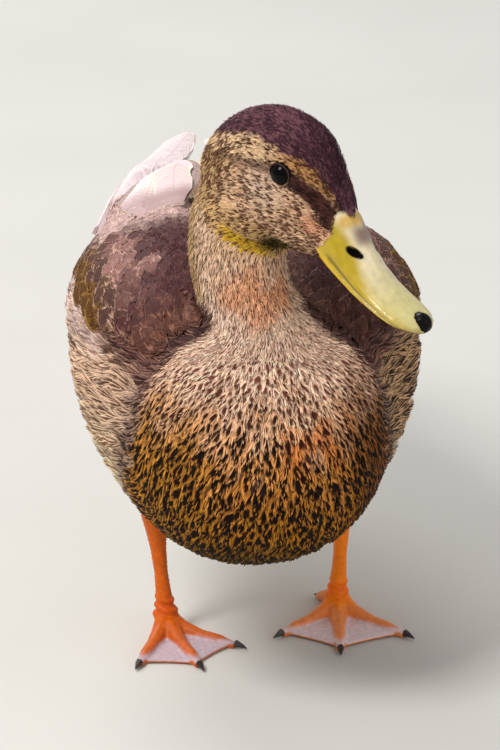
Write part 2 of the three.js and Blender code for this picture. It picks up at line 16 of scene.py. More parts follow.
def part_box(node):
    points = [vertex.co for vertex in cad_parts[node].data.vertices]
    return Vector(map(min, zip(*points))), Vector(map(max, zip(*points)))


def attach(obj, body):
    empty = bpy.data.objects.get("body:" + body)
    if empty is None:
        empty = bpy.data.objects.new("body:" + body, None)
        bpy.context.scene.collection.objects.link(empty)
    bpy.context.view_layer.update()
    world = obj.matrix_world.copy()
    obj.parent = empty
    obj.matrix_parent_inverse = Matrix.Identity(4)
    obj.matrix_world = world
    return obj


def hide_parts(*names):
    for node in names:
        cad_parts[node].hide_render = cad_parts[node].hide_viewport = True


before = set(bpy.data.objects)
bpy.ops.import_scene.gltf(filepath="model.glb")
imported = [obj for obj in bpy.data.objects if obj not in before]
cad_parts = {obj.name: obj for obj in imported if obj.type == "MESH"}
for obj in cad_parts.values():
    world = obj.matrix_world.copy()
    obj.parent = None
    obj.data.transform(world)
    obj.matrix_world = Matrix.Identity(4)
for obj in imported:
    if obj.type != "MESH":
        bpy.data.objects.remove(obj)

LOG = logging.getLogger("duck")
MM = 0.001
BODY = "root"
TINT = "Plumage"
VANE = "Vane"
BAKE_MAP = "OFBake"
BAKE_PATCH = 0.003
BAKE_MARGIN = 0.02
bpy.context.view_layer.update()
FLESH = ("trunk", "neck", "head", "thigh_right", "thigh_left", "wing_right", "wing_left")
COVERED = FLESH + ("tertials_right", "tertials_left")

Triple = tuple[float, float, float]
Steps = tuple[tuple[float, float], ...]
Field = Callable[[np.ndarray], np.ndarray]
Material = bpy.types.Material


class Side(Enum):
    """The bird's own sides, each with its sign along the head's outward axis."""

    RIGHT = 1
    LEFT = -1

    def of(self, part: str) -> str:
        """Name of a part on this side."""
        return f"{part}_{self.name.lower()}"


def colour(red: float, green: float, blue: float) -> np.ndarray:
    """A display colour of 0 to 255 as linear light."""
    value = np.array([red, green, blue], float) / 255
    return np.where(value <= 0.04045, value / 12.92, ((value + 0.055) / 1.055) ** 2.4)


def ramp(value: np.ndarray, start: float, end: float) -> np.ndarray:
    """Smooth step from 0 at start to 1 at end, which may run downwards.

    Args:
        value: Values to map.
        start, end: Where the step begins and where it is complete.

    Returns:
        Values between 0 and 1.
    """
    share = np.clip((np.asarray(value, float) - start) / (end - start), 0, 1)
    return share * share * (3 - 2 * share)


def line(value: np.ndarray, *steps: tuple[float, float]) -> np.ndarray:
    """A line through steps of (place, height), read at each value."""
    places, heights = zip(*steps)
    return np.interp(value, places, heights)


def mix(first: np.ndarray, second: np.ndarray, share: np.ndarray) -> np.ndarray:
    """Blend two colours, or two arrays of them, by a share per row.

    Args:
        first, second: Colours where the share is 0 and where it is 1.
        share: One value for each row.

    Returns:
        One colour for each row.
    """
    share = np.asarray(share, float)[..., None]
    return first * (1 - share) + second * share


def unit(vectors: np.ndarray) -> np.ndarray:
    """Vectors of length one along the last axis."""
    return vectors / np.maximum(np.linalg.norm(vectors, axis=-1, keepdims=True), 1e-12)


def mottle(points: np.ndarray, size: float, seed: int, waves: int = 9) -> np.ndarray:
    """A soft uneven field of blotches.

    Args:
        points: Places in rows.
        size: Width of a blotch.
        seed: Which field.
        waves: Number of crossing waves that make it up.

    Returns:
        Values spread about 0, mostly between -2 and 2.
    """
    rng = np.random.default_rng(seed)
    slopes = unit(rng.standard_normal((waves, 3))) * rng.uniform(0.6, 1.6, (waves, 1)) * math.pi / size
    phases = rng.uniform(0, math.tau, waves)
    return np.sin(points @ slopes.T + phases).sum(1) / 2.1


# ------------------------------------------------------------------ the bird's own frame

@dataclass(frozen=True)
class Plan:
    """The bird's plan frame in millimetres: facing -Y, its left at +X, as it was drawn.

    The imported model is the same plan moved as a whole, and origin is that move.
    """

    breast_front: float = -113.5
    sole_level: float = -4.7

    @property
    def origin(self) -> np.ndarray:
        """Where the plan's origin lies in the model.

        Returns:
            The place in millimetres.
        """
        low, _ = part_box("trunk")
        tail_low, tail_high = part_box("tail")
        middle = (tail_low.x + tail_high.x) / 2 / MM
        return np.array([middle, low.y / MM - self.breast_front, -self.sole_level])

    def to_model(self, points: np.ndarray) -> np.ndarray:
        """Plan millimetres to model metres."""
        return (np.asarray(points, float) + self.origin) * MM

    def from_model(self, points: np.ndarray) -> np.ndarray:
        """Model metres to plan millimetres."""
        return np.asarray(points, float) / MM - self.origin


@dataclass(frozen=True)
class HeadFrame:
    """Axes of the head: along the bill, up over the crown, and out to the bird's right."""

    bill_base: Triple = (28.0, -102.0, 227.0)
    turn: float = 44.0
    tilt: float = 25.0

    def axes(self) -> np.ndarray:
        """The head's own axes in the plan frame.

        Returns:
            Rows: along the bill, up over the crown, out to the right.
        """
        turn, tilt = math.radians(self.turn), math.radians(self.tilt)
        along = (math.cos(tilt) * math.sin(turn), -math.cos(tilt) * math.cos(turn), -math.sin(tilt))
        right = (-math.cos(turn), -math.sin(turn), 0.0)
        crown = np.cross(right, along)
        return np.array([along, crown if crown[2] > 0 else -crown, right])

    def point(self, along: float, up: float, out: float) -> np.ndarray:
        """Plan place of a point given along the head's own axes."""
        return np.array(self.bill_base) + np.array([along, up, out]) @ self.axes()

    def local(self, points: np.ndarray) -> np.ndarray:
        """Plan points along the head's own axes."""
        return (points - np.array(self.bill_base)) @ self.axes().T


PLAN = Plan()
HEAD = HeadFrame()


def head_share(points: np.ndarray) -> np.ndarray:
    """How far each place belongs to the head.

    Args:
        points: Places in the plan frame.

    Returns:
        1 on the head and 0 below the jaw, with a short blend.
    """
    along, up, _ = HEAD.local(points).T
    edge = line(along, (-75, -18), (-60, -25.5), (-50, -31.4), (-20, -31.4), (0, -29))
    return ramp(up - edge, -2.5, 1.5) * ramp(points[:, 2], 196, 202)


# ------------------------------------------------------------------ mesh helpers

def read(items: bpy.types.bpy_prop_collection, key: str, width: int, kind: type = float) -> np.ndarray:
    """One property of a mesh's items, in rows.

    Args:
        items: Vertices, edges or triangles.
        key: Name of the property.
        width: Values that each item has.
        kind: Their number type.

    Returns:
        One row for each item.
    """
    values = np.zeros(len(items) * width, kind)
    items.foreach_get(key, values)
    return values.reshape(-1, width)


def grid(down: int, across: int) -> np.ndarray:
    """Triangles of a sheet of vertices in rows."""
    first = (np.arange(down - 1)[:, None] * across + np.arange(across - 1)).reshape(-1, 1, 1)
    return (first + np.array([(0, 1, across), (1, across + 1, across)])).reshape(-1, 3)


def repeat(faces: np.ndarray, each: int, count: int) -> np.ndarray:
    """The same triangles for each of many parts that have as many vertices each."""
    return (faces[None] + each * np.arange(count)[:, None, None]).reshape(-1, 3)


def node_shell(names: Sequence[str], grow: float) -> bpy.types.Object:
    """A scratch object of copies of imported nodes, merged and grown a little.

    Args:
        names: Nodes to copy.
        grow: Distance in millimetres that each vertex moves outwards.

    Returns:
        The scratch object, which the caller removes.
    """
    shell = bmesh.new()
    for name in names:
        shell.from_mesh(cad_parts[name].data)
    bmesh.ops.remove_doubles(shell, verts=shell.verts, dist=1e-6)
    shell.normal_update()
    for vert in shell.verts:
        vert.co += vert.normal * (grow * MM)
    mesh = bpy.data.meshes.new("shell")
    shell.to_mesh(mesh)
    shell.free()
    piece = bpy.data.objects.new("shell", mesh)
    bpy.context.scene.collection.objects.link(piece)
    return piece


class Form:
    """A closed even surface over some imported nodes, with fast nearest-point look-up."""

    SMOOTHING: ClassVar[tuple[float, float]] = (0.5, -0.52)
    TRIES: ClassVar[int] = 7

    def __init__(self, names: Sequence[str], voxel: float, grow: float, rounds: int) -> None:
        """Make the surface.

        Args:
            names: Nodes it covers.
            voxel: Size of its cells in millimetres.
            grow: Outward move that closes the gaps between nodes.
            rounds: Rounds of smoothing.
        """
        scratch = node_shell(names, grow)
        remesh = scratch.modifiers.new("even", "REMESH")
        remesh.mode = "VOXEL"
        remesh.voxel_size = voxel * MM
        depsgraph = bpy.context.evaluated_depsgraph_get()
        mesh = bpy.data.meshes.new_from_object(scratch.evaluated_get(depsgraph))
        mesh.calc_loop_triangles()
        self.points = PLAN.from_model(read(mesh.vertices, "co", 3))
        self.triangles = read(mesh.loop_triangles, "vertices", 3, np.int32)
        self.edges = read(mesh.edges, "vertices", 2, np.int32)
        old = scratch.data
        bpy.data.objects.remove(scratch)
        bpy.data.meshes.remove(old)
        bpy.data.meshes.remove(mesh)
        self.smooth(rounds)

    def smooth(self, rounds: int) -> None:
        """Smooth the surface without shrinking it, and renew the look-up.

        Args:
            rounds: Pairs of a smoothing and an opposite step.
        """
        start, end = self.edges.T
        count = len(self.points)
        valence = np.bincount(self.edges.ravel(), minlength=count)[:, None]
        for step in self.SMOOTHING * rounds:
            total = np.zeros_like(self.points)
            for axis in range(3):
                total[:, axis] = np.bincount(start, self.points[end, axis], count)
                total[:, axis] += np.bincount(end, self.points[start, axis], count)
            self.points += step * (total / np.maximum(valence, 1) - self.points)
        self.refresh()

    def refresh(self) -> None:
        """Work out the normals and the look-up tree again."""
        first, second, third = (self.points[self.triangles[:, k]] for k in range(3))
        faces = np.cross(second - first, third - first)
        self.areas = np.linalg.norm(faces, axis=1) / 2
        normals = np.zeros_like(self.points)
        for corner in self.triangles.T:
            for axis in range(3):
                normals[:, axis] += np.bincount(corner, faces[:, axis], len(self.points))
        self.normals = unit(normals)
        self.tree = BVHTree.FromPolygons(self.points.tolist(), self.triangles.tolist())

    def swell(self, centre: Triple, radius: float, height: float) -> None:
        """Raise a soft mound.

        Args:
            centre: Its middle, in the plan frame.
            radius: Its reach.
            height: How far its middle rises.
        """
        share = ramp(np.linalg.norm(self.points - np.array(centre), axis=1), radius, 0)
        self.points += self.normals * (height * share)[:, None]
        self.refresh()

    def nearest(self, points: np.ndarray) -> tuple[np.ndarray, np.ndarray]:
        """Nearest places on the surface.

        Args:
            points: Places to look from, in rows.

        Returns:
            The places and the smooth normals there.
        """
        flat = points.reshape(-1, 3)
        hits = np.empty_like(flat)
        index = np.empty(len(flat), np.int64)
        for row, point in enumerate(flat.tolist()):
            hits[row], _, index[row], _ = self.tree.find_nearest(point)
        corners = self.triangles[index]
        gaps = [np.linalg.norm(hits - self.points[corners[:, k]], axis=1) + 1e-3 for k in range(3)]
        weights = 1 / np.stack(gaps, 1)
        normals = (self.normals[corners] * weights[..., None]).sum(1)
        return hits.reshape(points.shape), unit(normals).reshape(points.shape)

    def scatter(self, inside: Field, spacing: Field,
                rng: np.random.Generator) -> tuple[np.ndarray, np.ndarray]:
        """Evenly spread roots, none nearer its neighbours than the spacing.

        Args:
            inside: Which points belong to the region.
            spacing: Distance between roots at each point.
            rng: Source of the seeded draws.

        Returns:
            The roots and the normals there.
        """
        middle = self.points[self.triangles].mean(1)
        kept = np.nonzero(inside(middle))[0]
        want = self.areas[kept] / spacing(middle[kept])**2
        total = int(want.sum() * self.TRIES)
        pick = kept[rng.choice(len(kept), total, p=want / want.sum())]
        one, two = rng.random((2, total, 1))
        turn = one + two > 1
        one, two = np.where(turn, 1 - one, one), np.where(turn, 1 - two, two)
        first, second, third = (self.points[self.triangles[pick, k]] for k in range(3))
        roots = first + one * (second - first) + two * (third - first)
        reach = spacing(roots)
        near = KDTree(total)
        for row, point in enumerate(roots.tolist()):
            near.insert(point, row)
        near.balance()
        alive = np.ones(total, bool)
        chosen = []
        for row, point in enumerate(roots.tolist()):
            if alive[row]:
                chosen.append(row)
                for _, other, _ in near.find_range(point, reach[row]):
                    alive[other] = False
        corners = self.triangles[pick[chosen]]
        return roots[chosen], unit(self.normals[corners].sum(1))


def make_piece(name: str, material: Material, points: np.ndarray, faces: np.ndarray,
               tints: np.ndarray, patches: np.ndarray | None = None,
               vanes: np.ndarray | None = None, stands_for: Sequence[str] = ()) -> None:
    """Make a finished smooth mesh piece at the origin, riding on the body.

    Args:
        name: Name of the piece.
        material: Its finish.
        points: Vertices in plan millimetres.
        faces: Triangles as rows of three vertices.
        tints: Linear colour of each vertex, or one for all.
        patches: Bake map place of each vertex, or none.
        vanes: Place of each vertex on its feather in metres, or none.
        stands_for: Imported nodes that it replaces.
    """
    mesh = bpy.data.meshes.new(name)
    mesh.vertices.add(len(points))
    mesh.vertices.foreach_set("co", PLAN.to_model(points).ravel())
    mesh.loops.add(faces.size)
    mesh.loops.foreach_set("vertex_index", faces.ravel().astype(np.int32))
    mesh.polygons.add(len(faces))
    mesh.polygons.foreach_set("loop_start", np.arange(0, faces.size, 3, dtype=np.int32))
    if patches is not None:
        layer = mesh.uv_layers.new(name=BAKE_MAP)
        layer.data.foreach_set("uv", patches[faces.ravel()].ravel())
    mesh.update(calc_edges=True)
    mesh.shade_smooth()
    layer = mesh.color_attributes.new(TINT, "FLOAT_COLOR", "POINT")
    shown = np.ones((len(points), 4))
    shown[:, :3] = np.clip(tints, 0, 1)
    layer.data.foreach_set("color", shown.ravel())
    if vanes is not None:
        layer = mesh.attributes.new(VANE, "FLOAT_VECTOR", "POINT")
        layer.data.foreach_set("vector", vanes.ravel())
    mesh.materials.append(material)
    piece = bpy.data.objects.new(name, mesh)
    bpy.context.scene.collection.objects.link(piece)
    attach(piece, BODY)
    if stands_for:
        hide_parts(*stands_for)
    LOG.info("%s: %d triangles", name, len(faces))


# ------------------------------------------------------------------ finishes

class Graph:
    """The nodes of a new material, added and joined by short calls."""

    def __init__(self, name: str, sockets: dict[str, Any]) -> None:
        """Start the material.

        Args:
            name: Its name.
            sockets: Constants for the shader's own sockets.
        """
        self.material = bpy.data.materials.new(name)
        self.material.use_nodes = True
        self.shader = self.material.node_tree.nodes["Principled BSDF"]
        self.feed(self.shader, sockets)

    def feed(self, node: bpy.types.Node, sockets: dict[Any, Any]) -> None:
        """Fill sockets of a node.

        Args:
            node: The node.
            sockets: A constant or another node's output for each.
        """
        for key, value in sockets.items():
            if isinstance(value, bpy.types.NodeSocket):
                self.material.node_tree.links.new(value, node.inputs[key])
            else:
                node.inputs[key].default_value = value

    def add(self, kind: str, sockets: dict[Any, Any], output: Any = 0, **settings: str) -> Any:
        """Add a node.

        Args:
            kind: Its type, without the common first part.
            sockets: Constants and links of its inputs.
            output: Which output to hand back.
            settings: The node's own settings.

        Returns:
            That output.
        """
        node = self.material.node_tree.nodes.new(f"ShaderNode{kind}")
        for key, value in settings.items():
            setattr(node, key, value)
        self.feed(node, sockets)
        return node.outputs[output]

    def grain(self, scale: float, detail: float, stretch: Triple = (1.0, 1.0, 1.0)) -> Any:
        """Add noise over the object's own place.

        Args:
            scale: Its scale per metre.
            detail: Its detail.
            stretch: Factor of the scale along each axis.

        Returns:
            Output of the noise.
        """
        place = self.add("TexCoord", {}, "Object")
        place = self.add("Mapping", {"Vector": place, "Scale": stretch})
        return self.add("TexNoise", {"Vector": place, "Scale": scale, "Detail": detail}, "Fac")

    def tint(self, noise: Any, contrast: float) -> None:
        """Colour the surface by the piece's tint, lighter and darker with the noise.

        Args:
            noise: Output of a noise.
            contrast: How far it lightens and darkens.
        """
        tone = self.add("MapRange", {"Value": noise, "From Min": 0.3, "From Max": 0.7,
                                     "To Min": 1 - contrast, "To Max": 1 + contrast})
        tint = self.add("Attribute", {}, "Color", attribute_name=TINT)
        shown = self.add("VectorMath", {0: tint, "Scale": tone}, operation="SCALE")
        self.feed(self.shader, {"Base Color": shown})

    def two_tone(self, noise: Any, tones: Sequence[Sequence[float]], steps: tuple[float, float]) -> None:
        """Colour the surface between two colours with the noise.

        Args:
            noise: Output of a noise.
            tones: The linear colours.
            steps: Heights of the noise at which each is reached.
        """
        shown = self.add("ValToRGB", {"Fac": noise}, "Color")
        for element, tone, step in zip(shown.node.color_ramp.elements, tones, steps):
            element.color = (*tone, 1)
            element.position = step
        self.feed(self.shader, {"Base Color": shown})

    def relief(self, noise: Any, strength: float, distance: float) -> None:
        """Raise the surface with the noise."""
        normal = self.add("Bump", {"Height": noise, "Strength": strength, "Distance": distance})
        self.feed(self.shader, {"Normal": normal})


@dataclass(frozen=True)
class TintedFinish:
    """A finish whose colour is the piece's own tint with fine mottling.

    Attributes are the roughness, the strength and scale of the fine grain and its relief,
    the shine, the coat of gloss, and the light that passes through thin parts.
    """

    name: str
    roughness: float = 0.75
    grain: float = 0.25
    grain_scale: float = 900.0
    bump: float = 0.3
    specular: float = 0.5
    coat: float = 0.0
    through: float = 0.0

    def material(self) -> Material:
        """Build the material.

        Returns:
            The material.
        """
        graph = Graph(self.name, {
            "Roughness": self.roughness, "Specular IOR Level": self.specular,
            "Coat Weight": self.coat, "Coat Roughness": 0.12, "Subsurface Weight": self.through,
            "Subsurface Scale": 0.002, "Subsurface Radius": (1.0, 0.4, 0.2)})
        noise = graph.grain(self.grain_scale, 3.0)
        graph.tint(noise, self.grain)
        graph.relief(noise, self.bump, 0.0002)
        return graph.material


@dataclass(frozen=True)
class VaneFinish:
    """Large smooth feathers: the piece's tint, with fine slanted barbs along each vane."""

    name: str
    roughness: float = 0.5
    barbs: float = 1500.0
    slant: float = 0.9
    specular: float = 0.3
    contrast: float = 0.2
    drift: float = 0.12

    def material(self) -> Material:
        """Build the material.

        Returns:
            The material.
        """
        graph = Graph(self.name, {"Roughness": self.roughness, "Specular IOR Level": self.specular})
        vane = graph.add("Attribute", {}, "Vector", attribute_name=VANE)
        across = graph.add("SeparateXYZ", {0: vane}, "X")
        along = across.node.outputs["Y"]
        away = graph.add("Math", {0: across}, operation="ABSOLUTE")
        phase = graph.add("Math", {0: away, 1: -self.slant, 2: along}, operation="MULTIPLY_ADD")
        aside = graph.add("Math", {0: across, 1: self.drift}, operation="MULTIPLY")
        place = graph.add("CombineXYZ", {"X": phase, "Y": aside})
        noise = graph.add("TexNoise", {"Vector": place, "Scale": self.barbs, "Detail": 2.0}, "Fac")
        graph.tint(noise, self.contrast)
        graph.relief(noise, 0.35, 0.00015)
        return graph.material


@dataclass(frozen=True)
class SolidFinish:
    """A two-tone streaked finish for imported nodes: display colours, scale, stretch."""

    name: str
    first: Triple
    second: Triple
    scale: float = 260.0
    roughness: float = 0.6
    stretch: Triple = (1.0, 1.0, 1.0)

    def apply(self, *starts: str) -> None:
        """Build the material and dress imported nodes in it.

        Args:
            starts: First parts of the nodes' names.
        """
        graph = Graph(self.name, {"Roughness": self.roughness})
        noise = graph.grain(self.scale, 4.0, self.stretch)
        graph.two_tone(noise, (colour(*self.first), colour(*self.second)), (0.35, 0.65))
        graph.relief(noise, 0.3, 0.0002)
        for node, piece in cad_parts.items():
            if node.startswith(starts):
                piece.data.materials.clear()
                piece.data.materials.append(graph.material)


# ------------------------------------------------------------------ markings

@dataclass
class Marks:
    """Colour plan of a set of feathers, one row each.

    The edge colour shows round a darker heart, an ellipse on the vane whose middle and
    reach are given as shares of the feather's length and half width.
    """

    edge: np.ndarray
    heart: np.ndarray
    half: np.ndarray
    middle: np.ndarray
    reach: np.ndarray
    crisp: float = 5.0
    streak: np.ndarray | None = None

    def paint(self, across: np.ndarray, along: np.ndarray, stir: np.ndarray,
              chance: np.ndarray) -> np.ndarray:
        """Colour of each vertex of each feather.

        Args:
            across: Place across the vane, -1 to 1, feathers in rows.
            along: Place along it, 0 to 1.
            stir: Uneven shift of the heart's border, from -1 to 1.
            chance: A draw from 0 to 1 for each barb, which decides whether it is a pale streak.

        Returns:
            Linear colours.
        """
        square = (across / self.half[:, None]) ** 2
        square = square + ((along - self.middle[:, None]) / self.reach[:, None]) ** 2
        share = ramp(self.crisp * (1 - square) + 1.6 * stir, -1.0, 1.0)
        if self.streak is not None:
            share = share * np.where(chance < self.streak[:, None], 0.25, 1.0)
        return mix(self.edge[:, None], self.heart[:, None], share)


class Paint:
    """Edge and heart colour of the feather at each place, built up in layers."""

    def __init__(self, count: int, edge: Triple, heart: Triple) -> None:
        """Start with even colours.

        Args:
            count: Number of places.
            edge, heart: Display colours.
        """
        self.edge = np.tile(colour(*edge), (count, 1))
        self.heart = np.tile(colour(*heart), (count, 1))

    def lay(self, share: np.ndarray, edge: Triple | np.ndarray | None, heart: Triple | None = None,
            edge_part: float = 1.0, heart_part: float = 1.0) -> None:
        """Blend further colours in.

        Args:
            share: How far, for each place.
            edge, heart: Display colours, or linear ones in an array, or none to leave it.
            edge_part, heart_part: Part of the share that each takes.
        """
        if edge is not None:
            tone = edge if isinstance(edge, np.ndarray) else colour(*edge)
            self.edge = mix(self.edge, tone, share * edge_part)
        if heart is not None:
            self.heart = mix(self.heart, colour(*heart), share * heart_part)


class HeadMarks:
    """Markings of the head: cap, brow, eye stripe, cheek, jaw and throat."""

    cap_edge: Steps = ((-75, -4), (-70, 1), (-61, 8), (-54, 13), (-45, 15.5), (-35, 16.3), (-25, 17.4),
                (-18, 15.6), (-10, 10.6), (-5.5, 7.2), (0.5, 1.5), (6, -5))
    stripe_top: Steps = ((-66, -4), (-57, 0.6), (-52, 2.6), (-45, 5.6), (-39, 9), (-31.6, 11.5),
                  (-27, 11), (-22, 10.6), (-12.7, 9.4), (-5.4, 5.6), (0, 3))
    stripe_foot: Steps = ((-66, -6), (-57, -2.6), (-50, -0.8), (-44, 2), (-38, 4.6), (-32, 3.5),
                   (-26, 4.0), (-19, 4.2), (-12, 1.6), (-7, -2.2), (-3, -4.0), (0, -4.5))
    cheek_front: Steps = ((-17, -6), (-14, -3.2), (-9, -0.6), (-4.5, 0.2), (-1.4, -0.6), (1.9, -2.6),
                   (4.7, -5), (8, -7))

    def base(self, points: np.ndarray) -> tuple[Paint, np.ndarray]:
        """Ground colour with fleck colour, and the share of flecked feathers.

        Args:
            points: Places in the plan frame.

        Returns:
            The paint, whose heart is the fleck, and one share for each place.
        """
        along, up, _ = HEAD.local(points).T
        paint = Paint(len(points), (240, 198, 160), (98, 61, 46))
        share = 0.47 * (1 + 0.4 * mottle(points, 4.5, 3))
        rear = ramp(along, -48, -62) * ramp(up, 14, 6)
        paint.lay(rear, (206, 172, 122))
        pale = ramp(np.hypot(along + 36, up + 3), 14, 4)
        paint.lay(pale, (248, 214, 186))
        rufous = ramp(np.hypot((along + 9) / 1.2, up + 5), 7, 3)
        paint.lay(rufous * 0.55, (214, 132, 92))
        mouth = ramp(along, -22, -10) * ramp(up, -6, -12)
        share = share + 0.14 * rear - 0.16 * pale + 0.34 * mouth + 0.16 * ramp(along, -14, -5)
        olive = ramp(up, -16, -24) * ramp(along, -20, -28) * ramp(along, -64, -50)
        paint.lay(olive * 0.55, (212, 172, 96))
        # Painted reflection: yellow light thrown onto the lower edge of the jaw, which also hides some
        # of the flecks.
        yellow = ramp(up, -26.4, -28.4) * ramp(along, -20, -26) * ramp(along, -49, -41)
        paint.lay(yellow * 0.85, (226, 182, 26))
        share = share * (1 - 0.6 * yellow)
        chin = ramp(np.hypot((along + 20) / 1.3, (up + 26.5) / 0.75), 8, 4)
        paint.lay(chin, (88, 72, 26), (30, 24, 12))
        brow = ramp(up - line(along, *self.stripe_top), -0.5, 0.9) * ramp(along, 0, -5)
        gold = mix(colour(238, 202, 160), colour(206, 152, 98), ramp(along, -42, -30))
        paint.lay(brow, gold, (78, 44, 24), 1.0, 0.8)
        share = share + brow * (0.34 * ramp(along, -40, -28) - 0.08)
        stripe = ramp(up - line(along, *self.stripe_foot), -0.9, 0.7) * (1 - brow)
        thin = 0.6 + 0.4 * ramp(along, -44, -30)
        paint.lay(stripe * thin * ramp(along, -66, -56), (84, 50, 44), (38, 22, 20))
        cap = ramp(up - line(along, *self.cap_edge) + 0.5 * mottle(points, 3, 8), -1.3, 1.3)
        paint.lay(cap, (118, 78, 86), (62, 36, 46))
        return paint, share + cap * 0.2

    def over_bill(self, points: np.ndarray) -> np.ndarray:
        """The tongue of forehead feathers and the bulge of cheek feathers over the bill's root.

        Args:
            points: Places in the plan frame.

        Returns:
            Whether each lies in them.
        """
        along, up, out = HEAD.local(points).T
        tongue = 1.5 - 8.0 * ((out - 0.5) / 4.7) ** 2
        return (along < np.maximum(tongue, line(up, *self.cheek_front))) & (along > -9)

    def feathers(self, roots: np.ndarray, rng: np.random.Generator) -> Marks:
        """Colour plan of the small head feathers, pale or with a dark heart.

        Args:
            roots: Where the feathers start.
            rng: Source of the seeded draws.

        Returns:
            Their marks.
        """
        paint, share = self.base(roots)
        count = len(roots)
        dark = rng.random(count) < share
        heart = np.where(dark[:, None], paint.heart, paint.edge * 0.86)
        shade = 1 + 0.2 * (rng.random((count, 1)) - 0.5)
        return Marks(paint.edge * shade, heart * shade, np.where(dark, 1.1, 0.6),
                     np.full(count, 0.7), np.full(count, 0.4), 3.0)


class BodyMarks:
    """Markings of neck, breast, flanks, back and wings."""

    def split(self, points: np.ndarray) -> np.ndarray:
        """Tell the breast from what is behind it.

        Args:
            points: Places in the plan frame.

        Returns:
            How far each lies behind the breast's edge, in millimetres.
        """
        height = points[:, 2]
        edge = -71 + 29 * ramp(height, 135, 70) + 60 * ramp(height, 178, 192)
        return points[:, 1] - edge

    def base(self, points: np.ndarray) -> tuple[Paint, np.ndarray]:
        """Edge and heart colour, with painted shade on the bird's left side and in the breast-flank
        crease, and the share of the vane that the heart takes.

        Args:
            points: Places in the plan frame.

        Returns:
            The paint, and one share for each place.
        """
        side, back, height = points.T
        blotch = mottle(points, 9.0, 5)
        level = height + 3.5 * blotch
        low = ramp(level, 161, 110)
        paint = Paint(len(points), (255, 220, 194), (118, 66, 52))
        paint.lay(low, (244, 160, 74))
        paint.lay(ramp(level, 112, 82), (206, 134, 36))
        paint.lay(ramp(side, -24, -44) * low * 0.8, (200, 136, 46))
        # Painted shade: the breast's edges turn darker olive-brown on the bird's left side.
        paint.lay(ramp(side, 20, 44) * ramp(level, 166, 122) * 0.85, (132, 74, 14))
        paint.lay(ramp(level, 166, 126), None, (26, 12, 4))
        neck = ramp(height, 172, 184) * ramp(back, -20, -32)
        throat = mix(colour(255, 222, 198), colour(248, 210, 180), ramp(height, 176, 190))
        paint.lay(neck, throat, (84, 48, 34), 1.0, 0.9)
        paint.lay(neck * ramp(height, 198, 208) * ramp(back, -70, -78) * 0.35, (222, 172, 104))
        paint.lay(neck * ramp(back, -72, -60), (196, 162, 116), (92, 64, 48))
        warm = np.hypot((side + 10) / 1.5, height - 189) + 2.5 * blotch
        paint.lay(ramp(warm, 17, 4) * ramp(back, -70, -80), (238, 150, 88), (96, 46, 26), 0.6)
        red = np.hypot((side - 12) / 1.5, height - 128) + 3 * blotch
        paint.lay(ramp(red, 13, 3) * ramp(back, -92, -102), (230, 120, 46), (70, 26, 12), 0.45, 0.7)
        pale = ramp(mottle(points * (1.3, 1.0, 0.8), 13.0, 9), 0.9, 1.7) * ramp(back, -84, -96)
        pale = pale * ramp(np.abs(side + 6), 34, 20) * ramp(height, 108, 120)
        paint.lay(pale, (226, 204, 194), (140, 108, 98), 0.4, 0.35)
        paint.lay(ramp(height, 84, 60), (118, 84, 14), (30, 20, 6))
        behind = self.split(points)
        flank = ramp(behind, -2, 5) * (1 - neck)
        buff = mix(colour(255, 230, 190), colour(240, 202, 172), ramp(height, 90, 130))
        paint.lay(flank, buff, (104, 72, 56))
        paint.lay(flank * ramp(-side, 10, 40) * ramp(height, 130, 90), None, (138, 102, 76))
        # Painted shade: the flank feathers on the bird's left side get duller edges and larger, darker
        # hearts.
        dark = flank * ramp(side, 20, 50)
        paint.lay(dark, (220, 176, 130), (46, 28, 24))
        # Painted shade in the crease where flank meets breast, with larger hearts there.
        crease = ramp(behind, 20, 6) * flank * ramp(height, 60, 84)
        paint.lay(crease, (132, 102, 92), (50, 36, 34), 0.85, 0.9)
        top = flank * ramp(height + 0.25 * np.maximum(0, -back - 20), 148, 158)
        paint.lay(top, (140, 100, 88), (66, 40, 38))
        paint.lay(top * ramp(behind, 16, 8) * ramp(height, 156, 166), (86, 58, 54), (52, 32, 32))
        veil = flank * ramp(-side, 70, 74) * ramp(height, 138, 150) * ramp(back, 66, 36)
        paint.lay(veil, (224, 198, 186), (158, 126, 114))
        rump = flank * ramp(back, 60, 90) * ramp(height, 150, 158)
        paint.lay(rump, (176, 134, 96), (74, 52, 44))
        under = ramp(back, 70, 110) * ramp(height, 165, 150)
        paint.lay(under, (232, 214, 188), (120, 92, 72))
        fill = 0.55 + 0.17 * ramp(height, 145, 105) - 0.06 * ramp(height, 146, 164)
        fill = fill + (0.02 + 0.1 * mottle(points, 13, 7)) * flank
        return paint, fill + 0.2 * dark + crease * 0.12 + top * 0.2

    def feathers(self, roots: np.ndarray, rng: np.random.Generator) -> Marks:
        """Colour plan of contour feathers, each with its own shade.

        Args:
            roots: Where the feathers start.
            rng: Source of the seeded draws.

        Returns:
            Their marks.
        """
        paint, fill = self.base(roots)
        count = len(roots)
        shade = 1 + 0.26 * (rng.random((count, 1)) - 0.5)
        on_neck = ramp(roots[:, 2], 164, 182) * ramp(roots[:, 1], -20, -32)
        faint = (rng.random(count) < 0.36) * on_neck
        heart = mix(paint.heart, paint.edge * 0.8, faint)
        size = fill * (0.75 + 0.4 * rng.random(count))
        middle = 0.64 + 0.08 * rng.random(count)
        streak = 0.12 + 0.35 * ramp(self.split(roots), 0, 8)
        reach = size * (0.52 + 0.2 * rng.random(count))
        return Marks(paint.edge * shade, heart * shade, size * 0.95, middle, reach, 4.0, streak)


